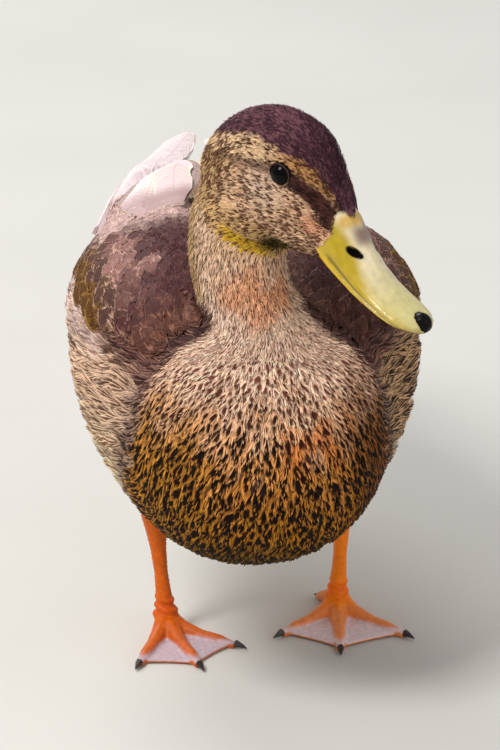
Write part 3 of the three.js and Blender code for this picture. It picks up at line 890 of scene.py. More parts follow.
class CoverMarks:
    """Markings of scapulars, wing coverts and mantle: dark fields with thin pale rims."""

    def base(self, points: np.ndarray) -> tuple[Paint, np.ndarray]:
        """Rim and field colour, with painted shade on the bird's left side, and the rim's width.

        Args:
            points: Places in the plan frame.

        Returns:
            The paint, whose heart is the field, and one width for each place.
        """
        side, back, _ = points.T
        out = np.abs(side)
        paint = Paint(len(points), (106, 70, 68), (74, 38, 40))
        # Painted sheen: a lighter pinkish-grey patch laid over the outer coverts.
        painted_sheen = ramp(out + 4 * mottle(points, 15, 14), 42, 56) * ramp(back, -40, -14)
        painted_sheen = painted_sheen * (0.75 + 0.25 * mottle(points, 12, 6)).clip(0, 1)
        paint.lay(painted_sheen, (206, 166, 152), (150, 106, 98))
        pale = ramp(back + 4 * mottle(points, 14, 4), 30, 58)
        paint.lay(pale, (240, 212, 194), (198, 164, 160), 1.0, 0.95)
        band = ramp(out + 1.5 * mottle(points, 7, 12), 59, 64)
        paint.lay(band, (200, 160, 138), (74, 48, 38), 0.8, 0.85)
        gold = ramp(out + 1.5 * mottle(points, 8, 2), 67, 72) * ramp(back, 66, 44)
        paint.lay(gold, (166, 124, 60), (92, 58, 20))
        mantle = ramp(out, 26, 12)
        paint.lay(mantle, (166, 124, 96), (86, 56, 50), 0.8)
        paint.lay(ramp(back, -34, -52), (158, 112, 90), (94, 58, 48), 0.85, 0.8)
        # Painted shade: the broad feathers on the bird's left side are darkened, as in the shadow of
        # head and neck.
        shade = (1 - 0.3 * ramp(side, 0, 26) * ramp(side, 74, 56))[:, None]
        paint.edge, paint.heart = paint.edge * shade, paint.heart * shade
        return paint, 0.55 + 0.35 * mantle + 0.25 * gold

    def fringe(self, roots: np.ndarray, rng: np.random.Generator) -> Marks:
        """Colour plan of the loose barbs at the tips of the broad feathers.

        Args:
            roots: Where the feathers start.
            rng: Source of the seeded draws.

        Returns:
            Their marks.
        """
        paint, _ = self.base(roots)
        count = len(roots)
        on_wing = ramp(np.abs(roots[:, 0]), 48, 58)
        share = 0.14 + 0.2 * on_wing + 0.66 * rng.random(count) ** 2
        tip = mix(paint.heart, paint.edge * 1.15, share)
        return Marks(tip, paint.heart, np.full(count, 0.7), np.full(count, 0.4), np.full(count, 0.3))


# ------------------------------------------------------------------ the lie of the coat

def lie(points: np.ndarray) -> np.ndarray:
    """Direction in which the feathers point, before it is laid on the surface.

    From the bill back over the head, down the neck, down and back over the breast, and
    straight back over the trunk.

    Args:
        points: Places in the plan frame.

    Returns:
        One direction for each place.
    """
    along, up, _ = HEAD.local(points).T
    ahead = ramp(-points[:, 1], 56, 80)[:, None]
    trunk = np.array([0.0, 1.0, -0.06]) * (1 - ahead) + np.array([0.0, 0.1, -1.0]) * ahead
    trunk[:, :1] += points[:, :1] * 0.013 * ahead
    down = np.array([0.12, 0.12, -1.0])
    neck = ramp(points[:, 2], 168, 186)[:, None] * ramp(-points[:, 1], 22, 40)[:, None]
    head = ramp(up, -40, -27)[:, None] * neck
    back = -HEAD.axes()[0] * (1 - 0.75 * ramp(along, -46, -68)[:, None])
    back = back + down * (0.95 * ramp(along, -40, -66) + 0.25 * ramp(up, 0, -24))[:, None]
    flow = unit(trunk) * (1 - neck) + down * neck
    return unit(flow * (1 - head) + unit(back) * head)


@dataclass
class Tracks:
    """Middle lines of feathers, laid over a form: places and normals, feathers in rows."""

    places: np.ndarray
    normals: np.ndarray

    @classmethod
    def lay(cls, form: Form, roots: np.ndarray, normals: np.ndarray, length: np.ndarray,
            steps: int, wander: float, rng: np.random.Generator) -> "Tracks":
        """Walk from each root along the lie of the coat.

        Args:
            form: Surface to follow.
            roots: Where the feathers start.
            normals: Normals there.
            length: Length of each feather.
            steps: Steps along each.
            wander: Sideways turn of a feather, as a slope.
            rng: Source of the seeded draws.

        Returns:
            The tracks.
        """
        place, normal = roots, normals
        places, tops = [place], [normal]
        turn = wander * rng.standard_normal((len(roots), 1))
        for _ in range(steps):
            flow = lie(place)
            flow = flow - normal * (flow * normal).sum(1, keepdims=True)
            flow = unit(flow + 1e-6)
            flow = unit(flow + turn * np.cross(normal, flow))
            place, normal = form.nearest(place + flow * (length[:, None] / steps))
            places.append(place)
            tops.append(normal)
        return cls(np.stack(places, 1), np.stack(tops, 1))

    def read(self, share: np.ndarray) -> tuple[np.ndarray, np.ndarray, np.ndarray]:
        """Place, forward direction and normal at shares of each feather's length.

        Args:
            share: Shares from 0 to a little over 1, feathers in rows.

        Returns:
            The three, feathers in rows.
        """
        steps = self.places.shape[1] - 1
        scaled = np.clip(share, 0, 1.2) * steps
        low = np.clip(scaled.astype(int), 0, steps - 1)
        part = (scaled - low)[..., None]
        rows = np.arange(len(self.places))[:, None]
        start, end = self.places[rows, low], self.places[rows, low + 1]
        top = self.normals[rows, low] * (1 - part) + self.normals[rows, low + 1] * part
        return start + (end - start) * part, unit(end - start), unit(top)


@dataclass(frozen=True)
class Cut:
    """Shape of one kind of contour feather, built of barbs that fan from its shaft.

    Attributes are the half width, the depth of the root and the lift of the tip, the barbs
    and the rings of each, how far barbs overlap, the unevenness of their ends, the camber,
    the share of the shaft that they leave from, the roundness of the end, and how much
    barbs roll, rise and differ in tone.
    """

    width: float
    depth: float
    lift: float
    barbs: int
    rings: int = 4
    cover: float = 1.35
    ragged: float = 0.05
    camber: float = 0.12
    fan: float = 0.55
    rounding: float = 0.34
    roll: float = 0.35
    rise: float = 0.1
    uneven: float = 0.12

    def grow(self, tracks: Tracks, marks: Marks, patches: np.ndarray,
             rng: np.random.Generator, size: np.ndarray) -> tuple[np.ndarray, ...]:
        """Vertices, triangles, colours and bake places of all the feathers.

        Args:
            tracks: Middle lines to build on.
            marks: Colour plan.
            patches: Bake place of each root.
            rng: Source of the seeded draws.
            size: Scale of each feather's width.

        Returns:
            Points, faces, tints and patches.
        """
        count = len(tracks.places)
        shape = (count, self.barbs)
        lane = np.linspace(-1, 1, self.barbs) + rng.uniform(-0.5, 0.5, shape) / self.barbs
        spread = np.abs(lane)
        start = self.fan * np.clip(1 - spread, 0, 1) ** 0.8
        end = 1 - self.rounding * spread**2.2 + self.ragged * rng.standard_normal(shape)
        roll = rng.uniform(-self.roll, self.roll, shape)
        rise = rng.uniform(-self.rise, self.rise, shape)
        tone = 1 + self.uneven * rng.standard_normal(shape)
        stir = rng.uniform(-1, 1, shape)
        chance = rng.random(shape)
        width = self.width * size[:, None]
        points, tints, places = [], [], []
        for share in np.linspace(0, 1, self.rings):
            along = start + (end - start) * share
            across = lane * (0.12 + 0.88 * share**0.8)
            place, ahead, top = tracks.read(along)
            sideways = unit(np.cross(top, ahead))
            half = width * self.cover / self.barbs * (0.75 + 0.5 * share if share < 0.9 else 0.3)
            height = -self.depth * (1 - along) + self.lift * along**3
            height = height - self.camber * width * across**2 + rise * along * self.depth * 0.4
            for hand in ((0,) if share == 1 else (-1, 1)):
                shift = across * width + hand * half
                up = height + hand * half * roll
                points.append(place + sideways * shift[..., None] + top * up[..., None])
                tint = marks.paint(shift / width, along, stir, chance)
                # Painted shade: each barb is darker towards the feather's root, where the feathers above
                # shade it, and lighter at its tip.
                tints.append(tint * (tone * (0.8 + 0.28 * share))[..., None])
                spot = np.stack([np.clip(shift / width, -1, 1), 2 * along - 1], -1)
                places.append(patches[:, None] + spot * BAKE_PATCH / 2)
        last = 2 * (self.rings - 2)
        ladder = [face for base in range(0, last, 2)
                  for face in ((base, base + 1, base + 3), (base, base + 3, base + 2))]
        ladder.append((last, last + 1, last + 2))
        return (np.stack(points, 2).reshape(-1, 3),
                repeat(np.array(ladder), len(points), count * self.barbs),
                np.stack(tints, 2).reshape(-1, 3),
                np.clip(np.stack(places, 2).reshape(-1, 2), 0, 1))


def wrap(points: np.ndarray, axis: Triple = (0.0, 1.0, 0.0),
         centre: Triple = (0.0, 0.0, 120.0)) -> np.ndarray:
    """Unwrap of a rounded form about an axis, filling the bake map.

    Args:
        points: Places in the plan frame.
        axis: Direction of the form's length.
        centre: A point on its middle line.

    Returns:
        A place in the map for each point, inside its margin.
    """
    axis = unit(np.asarray(axis, float))
    side = unit(np.cross(axis, (0.0, 0.0, 1.0) if abs(axis[2]) < 0.9 else (1.0, 0.0, 0.0)))
    off = points - np.asarray(centre)
    flat = np.stack([off @ axis, np.arctan2(off @ side, off @ np.cross(side, axis))], 1)
    low, high = flat.min(0), flat.max(0)
    return BAKE_MARGIN + (1 - 2 * BAKE_MARGIN) * (flat - low) / np.maximum(high - low, 1e-6)


@dataclass
class Coat:
    """One region of plumage, as one joined mesh of small feathers.

    Lengths are in millimetres, and axis and centre are those of its bake map.
    """

    name: str
    slot: str
    cut: Cut
    length: float
    spacing: float
    seed: int
    inside: Field
    marks: Callable[[np.ndarray, np.random.Generator], Marks]
    axis: Sequence[float] = (0.0, 1.0, 0.0)
    centre: Sequence[float] = (0.0, 0.0, 120.0)
    wander: float = 0.12
    scale: Field = lambda points: np.ones(len(points))

    STEPS: ClassVar[int] = 4
    MARKED_STEP: ClassVar[int] = 3

    def build(self, form: Form, finish: Material) -> None:
        """Grow the feathers.

        Args:
            form: Surface they grow on.
            finish: Their material.
        """
        rng = np.random.default_rng(self.seed)
        roots, normals = form.scatter(
            self.inside, lambda points: self.spacing * self.scale(points), rng)
        size = self.scale(roots) * (0.9 + 0.2 * rng.random(len(roots)))
        tracks = Tracks.lay(form, roots, normals, self.length * size, self.STEPS, self.wander, rng)
        marks = self.marks(tracks.places[:, self.MARKED_STEP], rng)
        patches = wrap(roots, self.axis, self.centre)
        points, faces, tints, places = self.cut.grow(tracks, marks, patches, rng, size)
        make_piece(self.name, finish, points, faces, tints, places)


# ------------------------------------------------------------------ broad feathers

@dataclass
class Cover:
    """One region of broad smooth feathers that overlap like tiles.

    Attributes are the length, half width and spacing, the rise of the tip and the depth of
    the root, the unevenness of the edge, the painted shade at the root, the doming, the strength of
    the pale shaft.
    """

    name: str
    slot: str
    length: float
    half: float
    spacing: float
    seed: int
    inside: Field
    lift: float
    root_shade: float = 0.8
    sink: float = 0.7
    ragged: float = 0.1
    loose: float = 0.035
    wander: float = 0.1
    dome: float = 0.2
    slope: float = 0.12
    shaft: float = 0.4

    ROWS: ClassVar[tuple[float, ...]] = (0.0, 0.3, 0.52, 0.68, 0.8, 0.89, 0.95, 1.0)
    COLUMNS: ClassVar[tuple[float, ...]] = (
        -1.0, -0.92, -0.8, -0.62, -0.42, -0.22, -0.05, 0.05, 0.22, 0.42, 0.62, 0.8, 0.92, 1.0)
    STEPS: ClassVar[int] = 5
    MARKED_STEP: ClassVar[int] = 3

    def build(self, form: Form, finish: Material) -> None:
        """Lay the feathers.

        Args:
            form: Surface they lie on.
            finish: Their material.
        """
        rng = np.random.default_rng(self.seed)
        roots, normals = form.scatter(
            self.inside, lambda points: np.full(len(points), self.spacing), rng)
        count = len(roots)
        size = 0.88 + 0.24 * rng.random(count)
        tracks = Tracks.lay(form, roots, normals, self.length * size, self.STEPS, self.wander, rng)
        paint, width = CoverMarks().base(tracks.places[:, self.MARKED_STEP])
        tone = 1 + 0.14 * (rng.random((count, 1)) - 0.5)
        extra = rng.uniform(0, 0.15, count)
        patches = wrap(roots)
        points, tints, places, vanes = [], [], [], []
        for share in self.ROWS:
            near = min(1.0, (1 - share) / 0.6)
            reach = self.half * size * min(1.0, 0.5 + 1.7 * share) * (near * (2 - near)) ** 0.7
            # Painted shade: each broad feather is darker at its root, where the feather above overlaps
            # it, and lighter at its tip.
            shade = tone * (self.root_shade + (1.08 - self.root_shade) * share)
            for column in self.COLUMNS:
                fray = 1 + self.ragged * rng.standard_normal(count) * (abs(column) == 1.0)
                slack = self.loose * rng.standard_normal((count, 1)) * max(0.0, share - 0.6) / 0.4
                back = share * (1 - 0.06 * column**2) + slack
                place, ahead, top = (part[:, 0] for part in tracks.read(back))
                sideways = unit(np.cross(top, ahead))
                place, top = form.nearest(place + sideways * (column * reach * fray)[:, None])
                height = -self.sink * (1 - share) + self.lift * share**1.5 + extra
                height = height + self.dome * (1 - column**2) * min(1.0, 2 * (1 - share))
                points.append(place + top * (height + self.slope * column)[:, None])
                inner = np.minimum((1 - abs(column)) * reach, (1 - share) * self.length * size)
                edge = ramp(inner, width * 1.5, width * 0.5) * rng.uniform(0.35, 1.0, count)
                tint = mix(paint.heart * shade, paint.edge * shade, edge)
                shaft = self.shaft if abs(column) < 0.1 else 0.0
                tints.append(mix(tint, paint.heart * 0.6, np.full(count, shaft)))
                places.append(patches + np.array([column, 2 * share - 1]) * BAKE_PATCH / 2)
                vanes.append(np.stack([column * reach, share * self.length * size, size * 10], 1) * MM)
        rows, columns = len(self.ROWS), len(self.COLUMNS)
        faces = repeat(grid(rows, columns), rows * columns, count)
        flat = np.stack(points, 1).reshape(-1, 3)
        make_piece(self.name, finish, flat, self.outward(flat, faces, tracks),
                   np.stack(tints, 1).reshape(-1, 3),
                   np.clip(np.stack(places, 1).reshape(-1, 2), 0, 1), np.stack(vanes, 1))

    def outward(self, points: np.ndarray, faces: np.ndarray, tracks: Tracks) -> np.ndarray:
        """Turn the faces over where they would look inwards.

        Args:
            points: Vertices.
            faces: Triangles.
            tracks: Middle lines of the feathers.

        Returns:
            The triangles.
        """
        first, second, third = (points[faces[:, k]] for k in range(3))
        tops = np.repeat(tracks.normals[:, 2], len(faces) // len(tracks.normals), 0)
        inwards = (np.cross(second - first, third - first) * tops).sum() < 0
        return faces[:, ::-1] if inwards else faces


# ------------------------------------------------------------------ large feathers

class Bed:
    """A packed plate that large feathers lie on, cut across into slices along the bird."""

    ABOVE: ClassVar[float] = 20.0
    SLICES: ClassVar[int] = 97

    def __init__(self, node: str) -> None:
        """Read the plate.

        Args:
            node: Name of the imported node.
        """
        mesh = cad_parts[node].data
        mesh.calc_loop_triangles()
        points = PLAN.from_model(read(mesh.vertices, "co", 3))
        faces = read(mesh.loop_triangles, "vertices", 3, np.int32)
        self.tree = BVHTree.FromPolygons(points.tolist(), faces.tolist())
        self.left, self.front, _ = points.min(0).tolist()
        self.right, self.rear, self.top = points.max(0).tolist()

    def under(self, side: float, back: float) -> Vector | None:
        """Point of the plate's top below a place, or none beside it."""
        return self.tree.ray_cast((side, back, self.top + self.ABOVE), (0, 0, -1))[0]

    def sides(self, back: float) -> tuple[float, float]:
        """Find the plate's edges.

        Args:
            back: Distance along the bird.

        Returns:
            Lowest and highest x of the plate there.
        """
        found = [side for side in np.linspace(self.left, self.right, self.SLICES)
                 if self.under(side, back) is not None]
        middle = (self.left + self.right) / 2
        return (found[0], found[-1]) if found else (middle, middle)

    def height(self, side: float, back: float) -> float:
        """Height of the plate's top at a place, or of its nearest edge."""
        hit = self.under(side, back)
        return (self.tree.find_nearest((side, back, self.top))[0] if hit is None else hit)[2]


@dataclass(frozen=True)
class VaneTint:
    """Display colours of a large feather: its field, pale edge, shaft and base; the edge's width."""

    field: Triple
    edge: Triple
    shaft: Triple
    base: Triple
    rim: float

    def at(self, reach: float, inside: float) -> np.ndarray:
        """Colour of one place of the vane.

        Args:
            reach: Share of its length.
            inside: Millimetres inside its edge.

        Returns:
            The linear colour.
        """
        tone = mix(colour(*self.base), colour(*self.field), ramp(reach, 0.2, 0.62))
        rim = ramp(inside, self.rim * 1.3, self.rim * 0.6)
        return mix(tone, colour(*self.edge), rim * ramp(reach, 0.3, 0.75))


@dataclass
class Vane:
    """One large feather in the bird's plan view, laid on a bed."""

    root: tuple[float, float]
    tip: tuple[float, float]
    half: float
    tint: VaneTint
    lift: float

    ROWS: ClassVar[int] = 30
    COLUMNS: ClassVar[tuple[float, ...]] = (
        -1.0, -0.94, -0.86, -0.6, -0.3, -0.09, -0.035, 0.0, 0.035, 0.09, 0.3, 0.6, 0.86, 0.94, 1.0)
    SHAFT_RISE: ClassVar[float] = 0.25
    TIP_RISE: ClassVar[float] = 0.5
    CAMBER: ClassVar[float] = 0.35

    def grow(self, bed: Bed) -> tuple[np.ndarray, ...]:
        """Vertices, colours and vane places, in rows across the feather.

        Args:
            bed: Plate to lie on.

        Returns:
            Points, tints and vane places in metres.
        """
        root, tip = np.array(self.root), np.array(self.tip)
        length = float(np.linalg.norm(tip - root))
        ahead = (tip - root) / length
        side = np.array([ahead[1], -ahead[0]])
        points, tints, places = [], [], []
        for row in range(self.ROWS + 1):
            reach = 1 - (1 - row / self.ROWS) ** 1.25
            near_tip = np.clip((1 - reach) * length / (self.half * 2.0), 0, 1) ** 0.5
            width = self.half * near_tip * min(1.0, 0.55 + 1.2 * reach)
            centre = root + ahead * length * reach
            for column in self.COLUMNS:
                swept = abs(column) ** 2 * width * 0.25 * (1 - near_tip)
                flat = centre + side * (column * width) - ahead * swept
                height = bed.height(*flat) + self.lift * (1 - max(0.0, 1 - 6 * reach))
                height += self.TIP_RISE * reach**4 + self.CAMBER * (1 - column**2) * (width / 6)
                points.append((*flat, height + (self.SHAFT_RISE if column == 0.0 else 0)))
                inside = min((1 - abs(column)) * width, (1 - reach) * length)
                tone = self.tint.at(reach, inside)
                shaft = 0.6 if abs(column) < 0.02 else 0.0
                tints.append(mix(tone, colour(*self.tint.shaft), shaft))
                places.append((column * width * MM, reach * length * MM, 0.0))
        return np.array(points), np.array(tints), np.array(places)


def lay_vanes(name: str, bed: Bed, vanes: Sequence[Vane], finish: Material) -> None:
    """Join a set of large feathers into one piece, each in a cell of its own of the bake map.

    Args:
        name: Name of the piece.
        bed: Plate they lie on.
        vanes: The feathers, the lowest first.
        finish: Their material.
    """
    across = math.ceil(len(vanes) ** 0.5)
    points, tints, places = (np.concatenate(part) for part in zip(*(vane.grow(bed) for vane in vanes)))
    each = len(points) // len(vanes)
    patches = []
    for order, spots in enumerate(places[:, :2].reshape(len(vanes), each, 2)):
        spread = spots / (np.abs(spots).max(0) * (2.0, 1.0) + 1e-9) + (0.5, 0.0)
        patches.append((np.array([order % across, order // across]) + 0.04 + 0.92 * spread) / across)
    faces = repeat(grid(Vane.ROWS + 1, len(Vane.COLUMNS)), each, len(vanes))
    make_piece(name, finish, points, faces, tints, np.concatenate(patches), places)


@dataclass(frozen=True)
class Fan:
    """How the large feathers of one kind lie over their plate on a folded wing.

    Shares across the plate run from its outer side, as the first feather's and what the
    last adds. A tip ends short of the plate's rear by a gap, and by a step more for each
    feather's distance from the longest.
    """

    part: str
    ahead: float
    across_root: tuple[float, float]
    across_tip: tuple[float, float]
    gap: float
    step: float
    longest: float
    half: float
    rise: float
    tints: tuple[VaneTint, ...]

    LOWEST: ClassVar[float] = 0.25

    def vanes(self, bed: Bed, side: Side) -> list[Vane]:
        """The feathers over one bed, the lowest first.

        Args:
            bed: Their plate.
            side: The wing's side.

        Returns:
            One vane for each of the tints.
        """
        made = []
        outer = 0.0 if side is Side.RIGHT else 1.0
        for order, tint in enumerate(self.tints):
            place = order / (len(self.tints) - 1)
            ends = []
            back = bed.rear - self.gap - self.step * abs(order - self.longest)
            for (first, more), where in ((self.across_root, bed.front + self.ahead),
                                         (self.across_tip, back)):
                low, high = bed.sides(where)
                ends.append((low + (high - low) * abs(outer - (first + more * place)), where))
            made.append(Vane(*ends, self.half, tint, self.LOWEST + self.rise * order))
        return made


class FlightFeathers:
    """Tertials and primaries of both folded wings, and the tail."""

    # Painted highlight: the tertials' and primaries' pale pinkish-white stands for strong sunlight over
    # their own pale greyish-brown.
    tertial = VaneTint((226, 204, 206), (248, 228, 208), (208, 184, 186), (172, 142, 140), 0.8)
    tertial_low = VaneTint((234, 216, 222), (250, 234, 222), (220, 202, 208), (184, 154, 154), 0.8)
    primary = VaneTint((226, 210, 214), (238, 226, 224), (214, 200, 202), (180, 158, 160), 0.5)
    tail_vane = VaneTint((150, 112, 86), (238, 222, 200), (206, 176, 140), (110, 80, 64), 1.6)
    fans = {
        "primary": Fan("primaries", ahead=4.0, across_root=(0.25, 0.55), across_tip=(0.5, 0.0),
                       gap=1.5, step=9.0, longest=0.0, half=7.5, rise=0.28, tints=(primary,) * 6),
        "tertial": Fan("tertials", ahead=3.0, across_root=(0.16, 0.68), across_tip=(0.42, 0.2),
                       gap=2.0, step=9.5, longest=1.5, half=9.0, rise=0.32,
                       tints=(tertial_low,) * 3 + (tertial,) * 3),
    }
    tail_pairs = 6
    tail_root = 149.0
    tail_length = 82.0
    tail_end_gap = 0.6

    def tail(self, bed: Bed) -> list[Vane]:
        """Lay out the tail's feathers in pairs.

        Args:
            bed: The tail's plate.

        Returns:
            The feathers, the outermost and lowest first.
        """
        made = []
        for pair in range(self.tail_pairs):
            for hand in (-1, 1):
                turn = math.radians(hand * (14.5 - 2.7 * pair))
                reach = self.tail_length - 1.6 * (self.tail_pairs - 1 - pair) ** 1.2
                side = hand * (12.0 - 2.1 * pair)
                back = min(self.tail_root + reach * math.cos(turn), bed.rear - self.tail_end_gap)
                made.append(Vane((side, self.tail_root), (side + reach * math.sin(turn), back), 6.6,
                                 self.tail_vane, 0.2 + 0.22 * pair))
        return made

    def build(self, finish: Material) -> None:
        """Lay all the large feathers.

        Args:
            finish: Material of the vanes.
        """
        for side in Side:
            for kind, fan in self.fans.items():
                bed = Bed(side.of(fan.part))
                lay_vanes(side.of(f"{kind}_vanes"), bed, fan.vanes(bed, side), finish)
        bed = Bed("tail")
        lay_vanes("tail_vanes", bed, self.tail(bed), finish)


# ------------------------------------------------------------------ camera, floor and light

@dataclass(frozen=True)
class Lamp:
    """One soft square lamp that faces the bird: place in metres from it, side, watts, colour."""

    name: str
    place: Triple
    size: float
    power: float
    tint: Triple

    def build(self, aim: np.ndarray) -> None:
        """Hang the lamp.

        Args:
            aim: Point it faces, in metres.
        """
        data = bpy.data.lights.new(self.name, "AREA")
        data.size = self.size
        data.energy = self.power
        data.color = self.tint
        lamp = bpy.data.objects.new(self.name, data)
        lamp.location = Vector(aim) + Vector(self.place)
        lamp.rotation_euler = (-Vector(self.place)).to_track_quat("-Z", "Y").to_euler()
        bpy.context.scene.collection.objects.link(lamp)


@dataclass(frozen=True)
class Studio:
    """Pale floor, soft lights and the camera, sizes in millimetres in the plan frame."""

    aim: Triple = (-4.2, -28.5, 133.0)
    azimuth: float = -8.0
    elevation: float = 20.0
    distance: float = 2000.0
    lens: float = 216.0
    film: float = 36.0
    floor: float = 6000.0
    lamps: tuple[Lamp, ...] = (
        Lamp("key", (-1.2, -0.75, 1.8), 0.8, 40.0, (1.0, 0.97, 0.93)),
        Lamp("fill", (1.3, -1.5, 0.9), 1.6, 6.0, (1.0, 0.97, 0.95)),
        Lamp("rim", (-0.5, 1.6, 1.6), 1.0, 22.0, (1.0, 0.98, 0.95)))

    def build(self) -> None:
        """Set up the camera, the floor, the world and the lamps."""
        scene = bpy.context.scene
        turn, rise = math.radians(self.azimuth), math.radians(self.elevation)
        away = np.array([math.sin(turn) * math.cos(rise), -math.cos(turn) * math.cos(rise),
                         math.sin(rise)])
        aim = PLAN.to_model(self.aim)
        data = bpy.data.cameras.new("camera")
        data.lens = self.lens
        data.sensor_fit = "VERTICAL"
        data.sensor_height = self.film
        data.clip_end = 50.0
        camera = bpy.data.objects.new("camera", data)
        camera.location = Vector(aim + away * self.distance * MM)
        camera.rotation_euler = Vector(-away).to_track_quat("-Z", "Y").to_euler()
        scene.collection.objects.link(camera)
        scene.camera = camera
        scene.view_settings.view_transform = "Standard"
        self.ground()
        self.sky()
        for lamp in self.lamps:
            lamp.build(aim)

    def ground(self) -> None:
        """The floor, a wide disc at the soles' level."""
        disc = bmesh.new()
        bmesh.ops.create_circle(disc, cap_ends=True, segments=64, radius=self.floor * MM)
        mesh = bpy.data.meshes.new("floor")
        disc.to_mesh(mesh)
        disc.free()
        graph = Graph("pale_floor", {"Roughness": 0.9})
        place = graph.add("TexCoord", {}, "Object")
        noise = graph.add("TexNoise", {"Vector": place, "Scale": 6.0}, "Fac")
        graph.two_tone(noise, ((0.60, 0.60, 0.58), (0.68, 0.68, 0.66)), (0.0, 1.0))
        mesh.materials.append(graph.material)
        floor = bpy.data.objects.new("floor", mesh)
        bpy.context.scene.collection.objects.link(floor)

    def sky(self) -> None:
        """Even pale surroundings."""
        world = bpy.data.worlds.new("studio")
        world.use_nodes = True
        back = world.node_tree.nodes["Background"]
        back.inputs["Color"].default_value = (0.94, 0.92, 0.90, 1)
        back.inputs["Strength"].default_value = 0.5
        bpy.context.scene.world = world


# ------------------------------------------------------------------ the bird

@dataclass
class Skin:
    """One closed skin under the plumage of head, neck, trunk, wings and thighs."""

    depth_head: float = 1.1
    depth_body: float = 2.4
    gap_shade: float = 0.75

    def build(self, form: Form, finish: Material) -> None:
        """Sink the outer form by the coat's depth and colour it as the coat, darkened as painted shade
        between the feathers.

        Args:
            form: Outer surface of the plumage.
            finish: Material of the skin.
        """
        on_head = head_share(form.points)
        depth = self.depth_head * on_head + self.depth_body * (1 - on_head)
        points = form.points - form.normals * depth[:, None]
        head, _ = HeadMarks().base(form.points)
        body, _ = BodyMarks().base(form.points)
        # Painted shade: the skin takes the coat's mean colour, darkened for the shadow between the
        # feathers.
        tint = mix((body.edge + body.heart) / 2, (head.edge + head.heart) / 2, on_head)
        make_piece("skin", finish, points, form.triangles, tint * self.gap_shade,
                   stands_for=FLESH)


@dataclass
class Bill:
    """Upper and lower bill with nail, nostrils and the bright lip."""

    voxel: float = 0.6
    nail_voxel: float = 0.4
    pit: float = 0.12
    lining: float = 0.05
    lip: float = 0.45

    RIDGE: ClassVar[Steps] = ((-5, 5), (0, 4), (5, 1.4), (12, -3.1), (20, -7.5), (28, -11), (36, -13.2),
             (48, -14.8), (55, -17))
    RIM: ClassVar[Steps] = ((-5, -15.2), (0, -16.6), (12, -19), (20, -20.2), (28, -20.7), (55, -20.2))

    def drop(self, points: np.ndarray) -> np.ndarray:
        """How far down the bill's side each place is.

        Args:
            points: Places in the plan frame.

        Returns:
            0 on the culmen and 1 on the rim.
        """
        along, up, _ = HEAD.local(points).T
        ridge, rim = line(along, *self.RIDGE), line(along, *self.RIM)
        return np.clip((ridge - up) / np.maximum(ridge - rim, 1), 0, 1)

    def lip_share(self, points: np.ndarray) -> np.ndarray:
        """Relief along the rim, a rounded ridge over a shallow groove.

        Args:
            points: Places in the plan frame.

        Returns:
            Heights from -1 to 1.
        """
        along, _, _ = HEAD.local(points).T
        drop = self.drop(points)
        ridge = ramp(np.abs(drop - 0.93), 0.09, 0.02)
        groove = ramp(np.abs(drop - 0.78), 0.08, 0.01)
        return (ridge - 0.8 * groove) * ramp(along, 1, 7) * ramp(along, 47, 40)

    def upper_tint(self, points: np.ndarray) -> np.ndarray:
        """Olive yellow sides, pale culmen, golden root and lip, and nostrils darkened as painted shade.

        Args:
            points: Places in the plan frame.

        Returns:
            Linear colours.
        """
        along, up, out = HEAD.local(points).T
        drop = self.drop(points)
        culmen = mix(colour(228, 214, 178), colour(206, 196, 136), ramp(along, 12, 42))
        high = 0.3 * ramp(along, 8, 26)
        flank = ramp(drop, 0.04 + 0.4 * high, 0.3 + high) * (1 - 0.4 * ramp(along, 22, 42))
        tint = mix(culmen, colour(180, 154, 12), flank)
        tint = mix(tint, colour(222, 180, 20), ramp(drop, 0.84, 0.96))
        # Painted shade: a dark line along the groove above the lip.
        groove = ramp(np.abs(drop - 0.8), 0.06, 0.015) * ramp(along, 0, 4)
        tint = mix(tint, colour(112, 86, 16), groove * 0.75)
        root = ramp(np.hypot((along - 1.8) / 1.2, up - 2.8), 4.4, 1.0)
        tint = mix(tint, colour(206, 160, 24), root * 0.8)
        smudge = ramp(np.hypot((along - 7.5) / 1.8, up + 1.8), 5.0, 1)
        tint = mix(tint, colour(118, 86, 80), smudge * ramp(out, 6.5, 2.5) * 0.85)
        # Painted shade: the nostril pits are coloured near black for the dark inside the holes.
        return mix(tint, colour(10, 6, 5), self.nostril(points, 1.18))

    def nostril(self, points: np.ndarray, grow: float = 1.0) -> np.ndarray:
        """How far each place lies in the oval pit of a nostril.

        Args:
            points: Places in the plan frame.
            grow: Factor of the oval's size.

        Returns:
            1 in the pit and 0 outside.
        """
        along, up, out = HEAD.local(points).T
        across = 0.7 * (up - np.abs(out)) + 9.3 - 0.16 * (along - 11.6)
        oval = np.hypot((along - 11.6) / 3.6, (across - 0.15) / 1.75) / grow
        return ramp(oval, 1.05, 0.85) * (np.abs(out) > 2.5)

    def build(self, horn: Material, dark: Material, matt: Material) -> None:
        """Make the three pieces of the bill, and the lining of the nostrils.

        Args:
            horn: Glossy tinted horn.
            dark: The same for the nail.
            matt: Dull dark lining of the nostrils, painted shade of the holes.
        """
        upper = Form(["bill_upper"], self.voxel, 0.0, 6)
        tint = self.upper_tint(upper.points)
        hollow = self.nostril(upper.points, 1.1)[upper.triangles].min(1) > 0.4
        rise = self.lip * self.lip_share(upper.points) - self.pit * self.nostril(upper.points)
        upper.points += upper.normals * rise[:, None]
        # Painted shade: a dark sheet just above each nostril pit stands for the dark inside the hole.
        used, faces = np.unique(upper.triangles[hollow], return_inverse=True)
        lining = upper.points[used] + self.lining * upper.normals[used]
        make_piece("nostrils", matt, lining, faces.reshape(-1, 3), colour(14, 9, 7))
        make_piece("upper_bill", horn, upper.points, upper.triangles, tint,
                   stands_for=["bill_upper"])
        lower = Form(["bill_lower"], self.voxel, 0.0, 5)
        make_piece("lower_bill", horn, lower.points, lower.triangles,
                   colour(222, 178, 26), stands_for=["bill_lower"])
        nail = Form(["bill_nail"], self.nail_voxel, 0.0, 6)
        make_piece("nail", dark, nail.points, nail.triangles, colour(9, 6, 8),
                   stands_for=["bill_nail"])


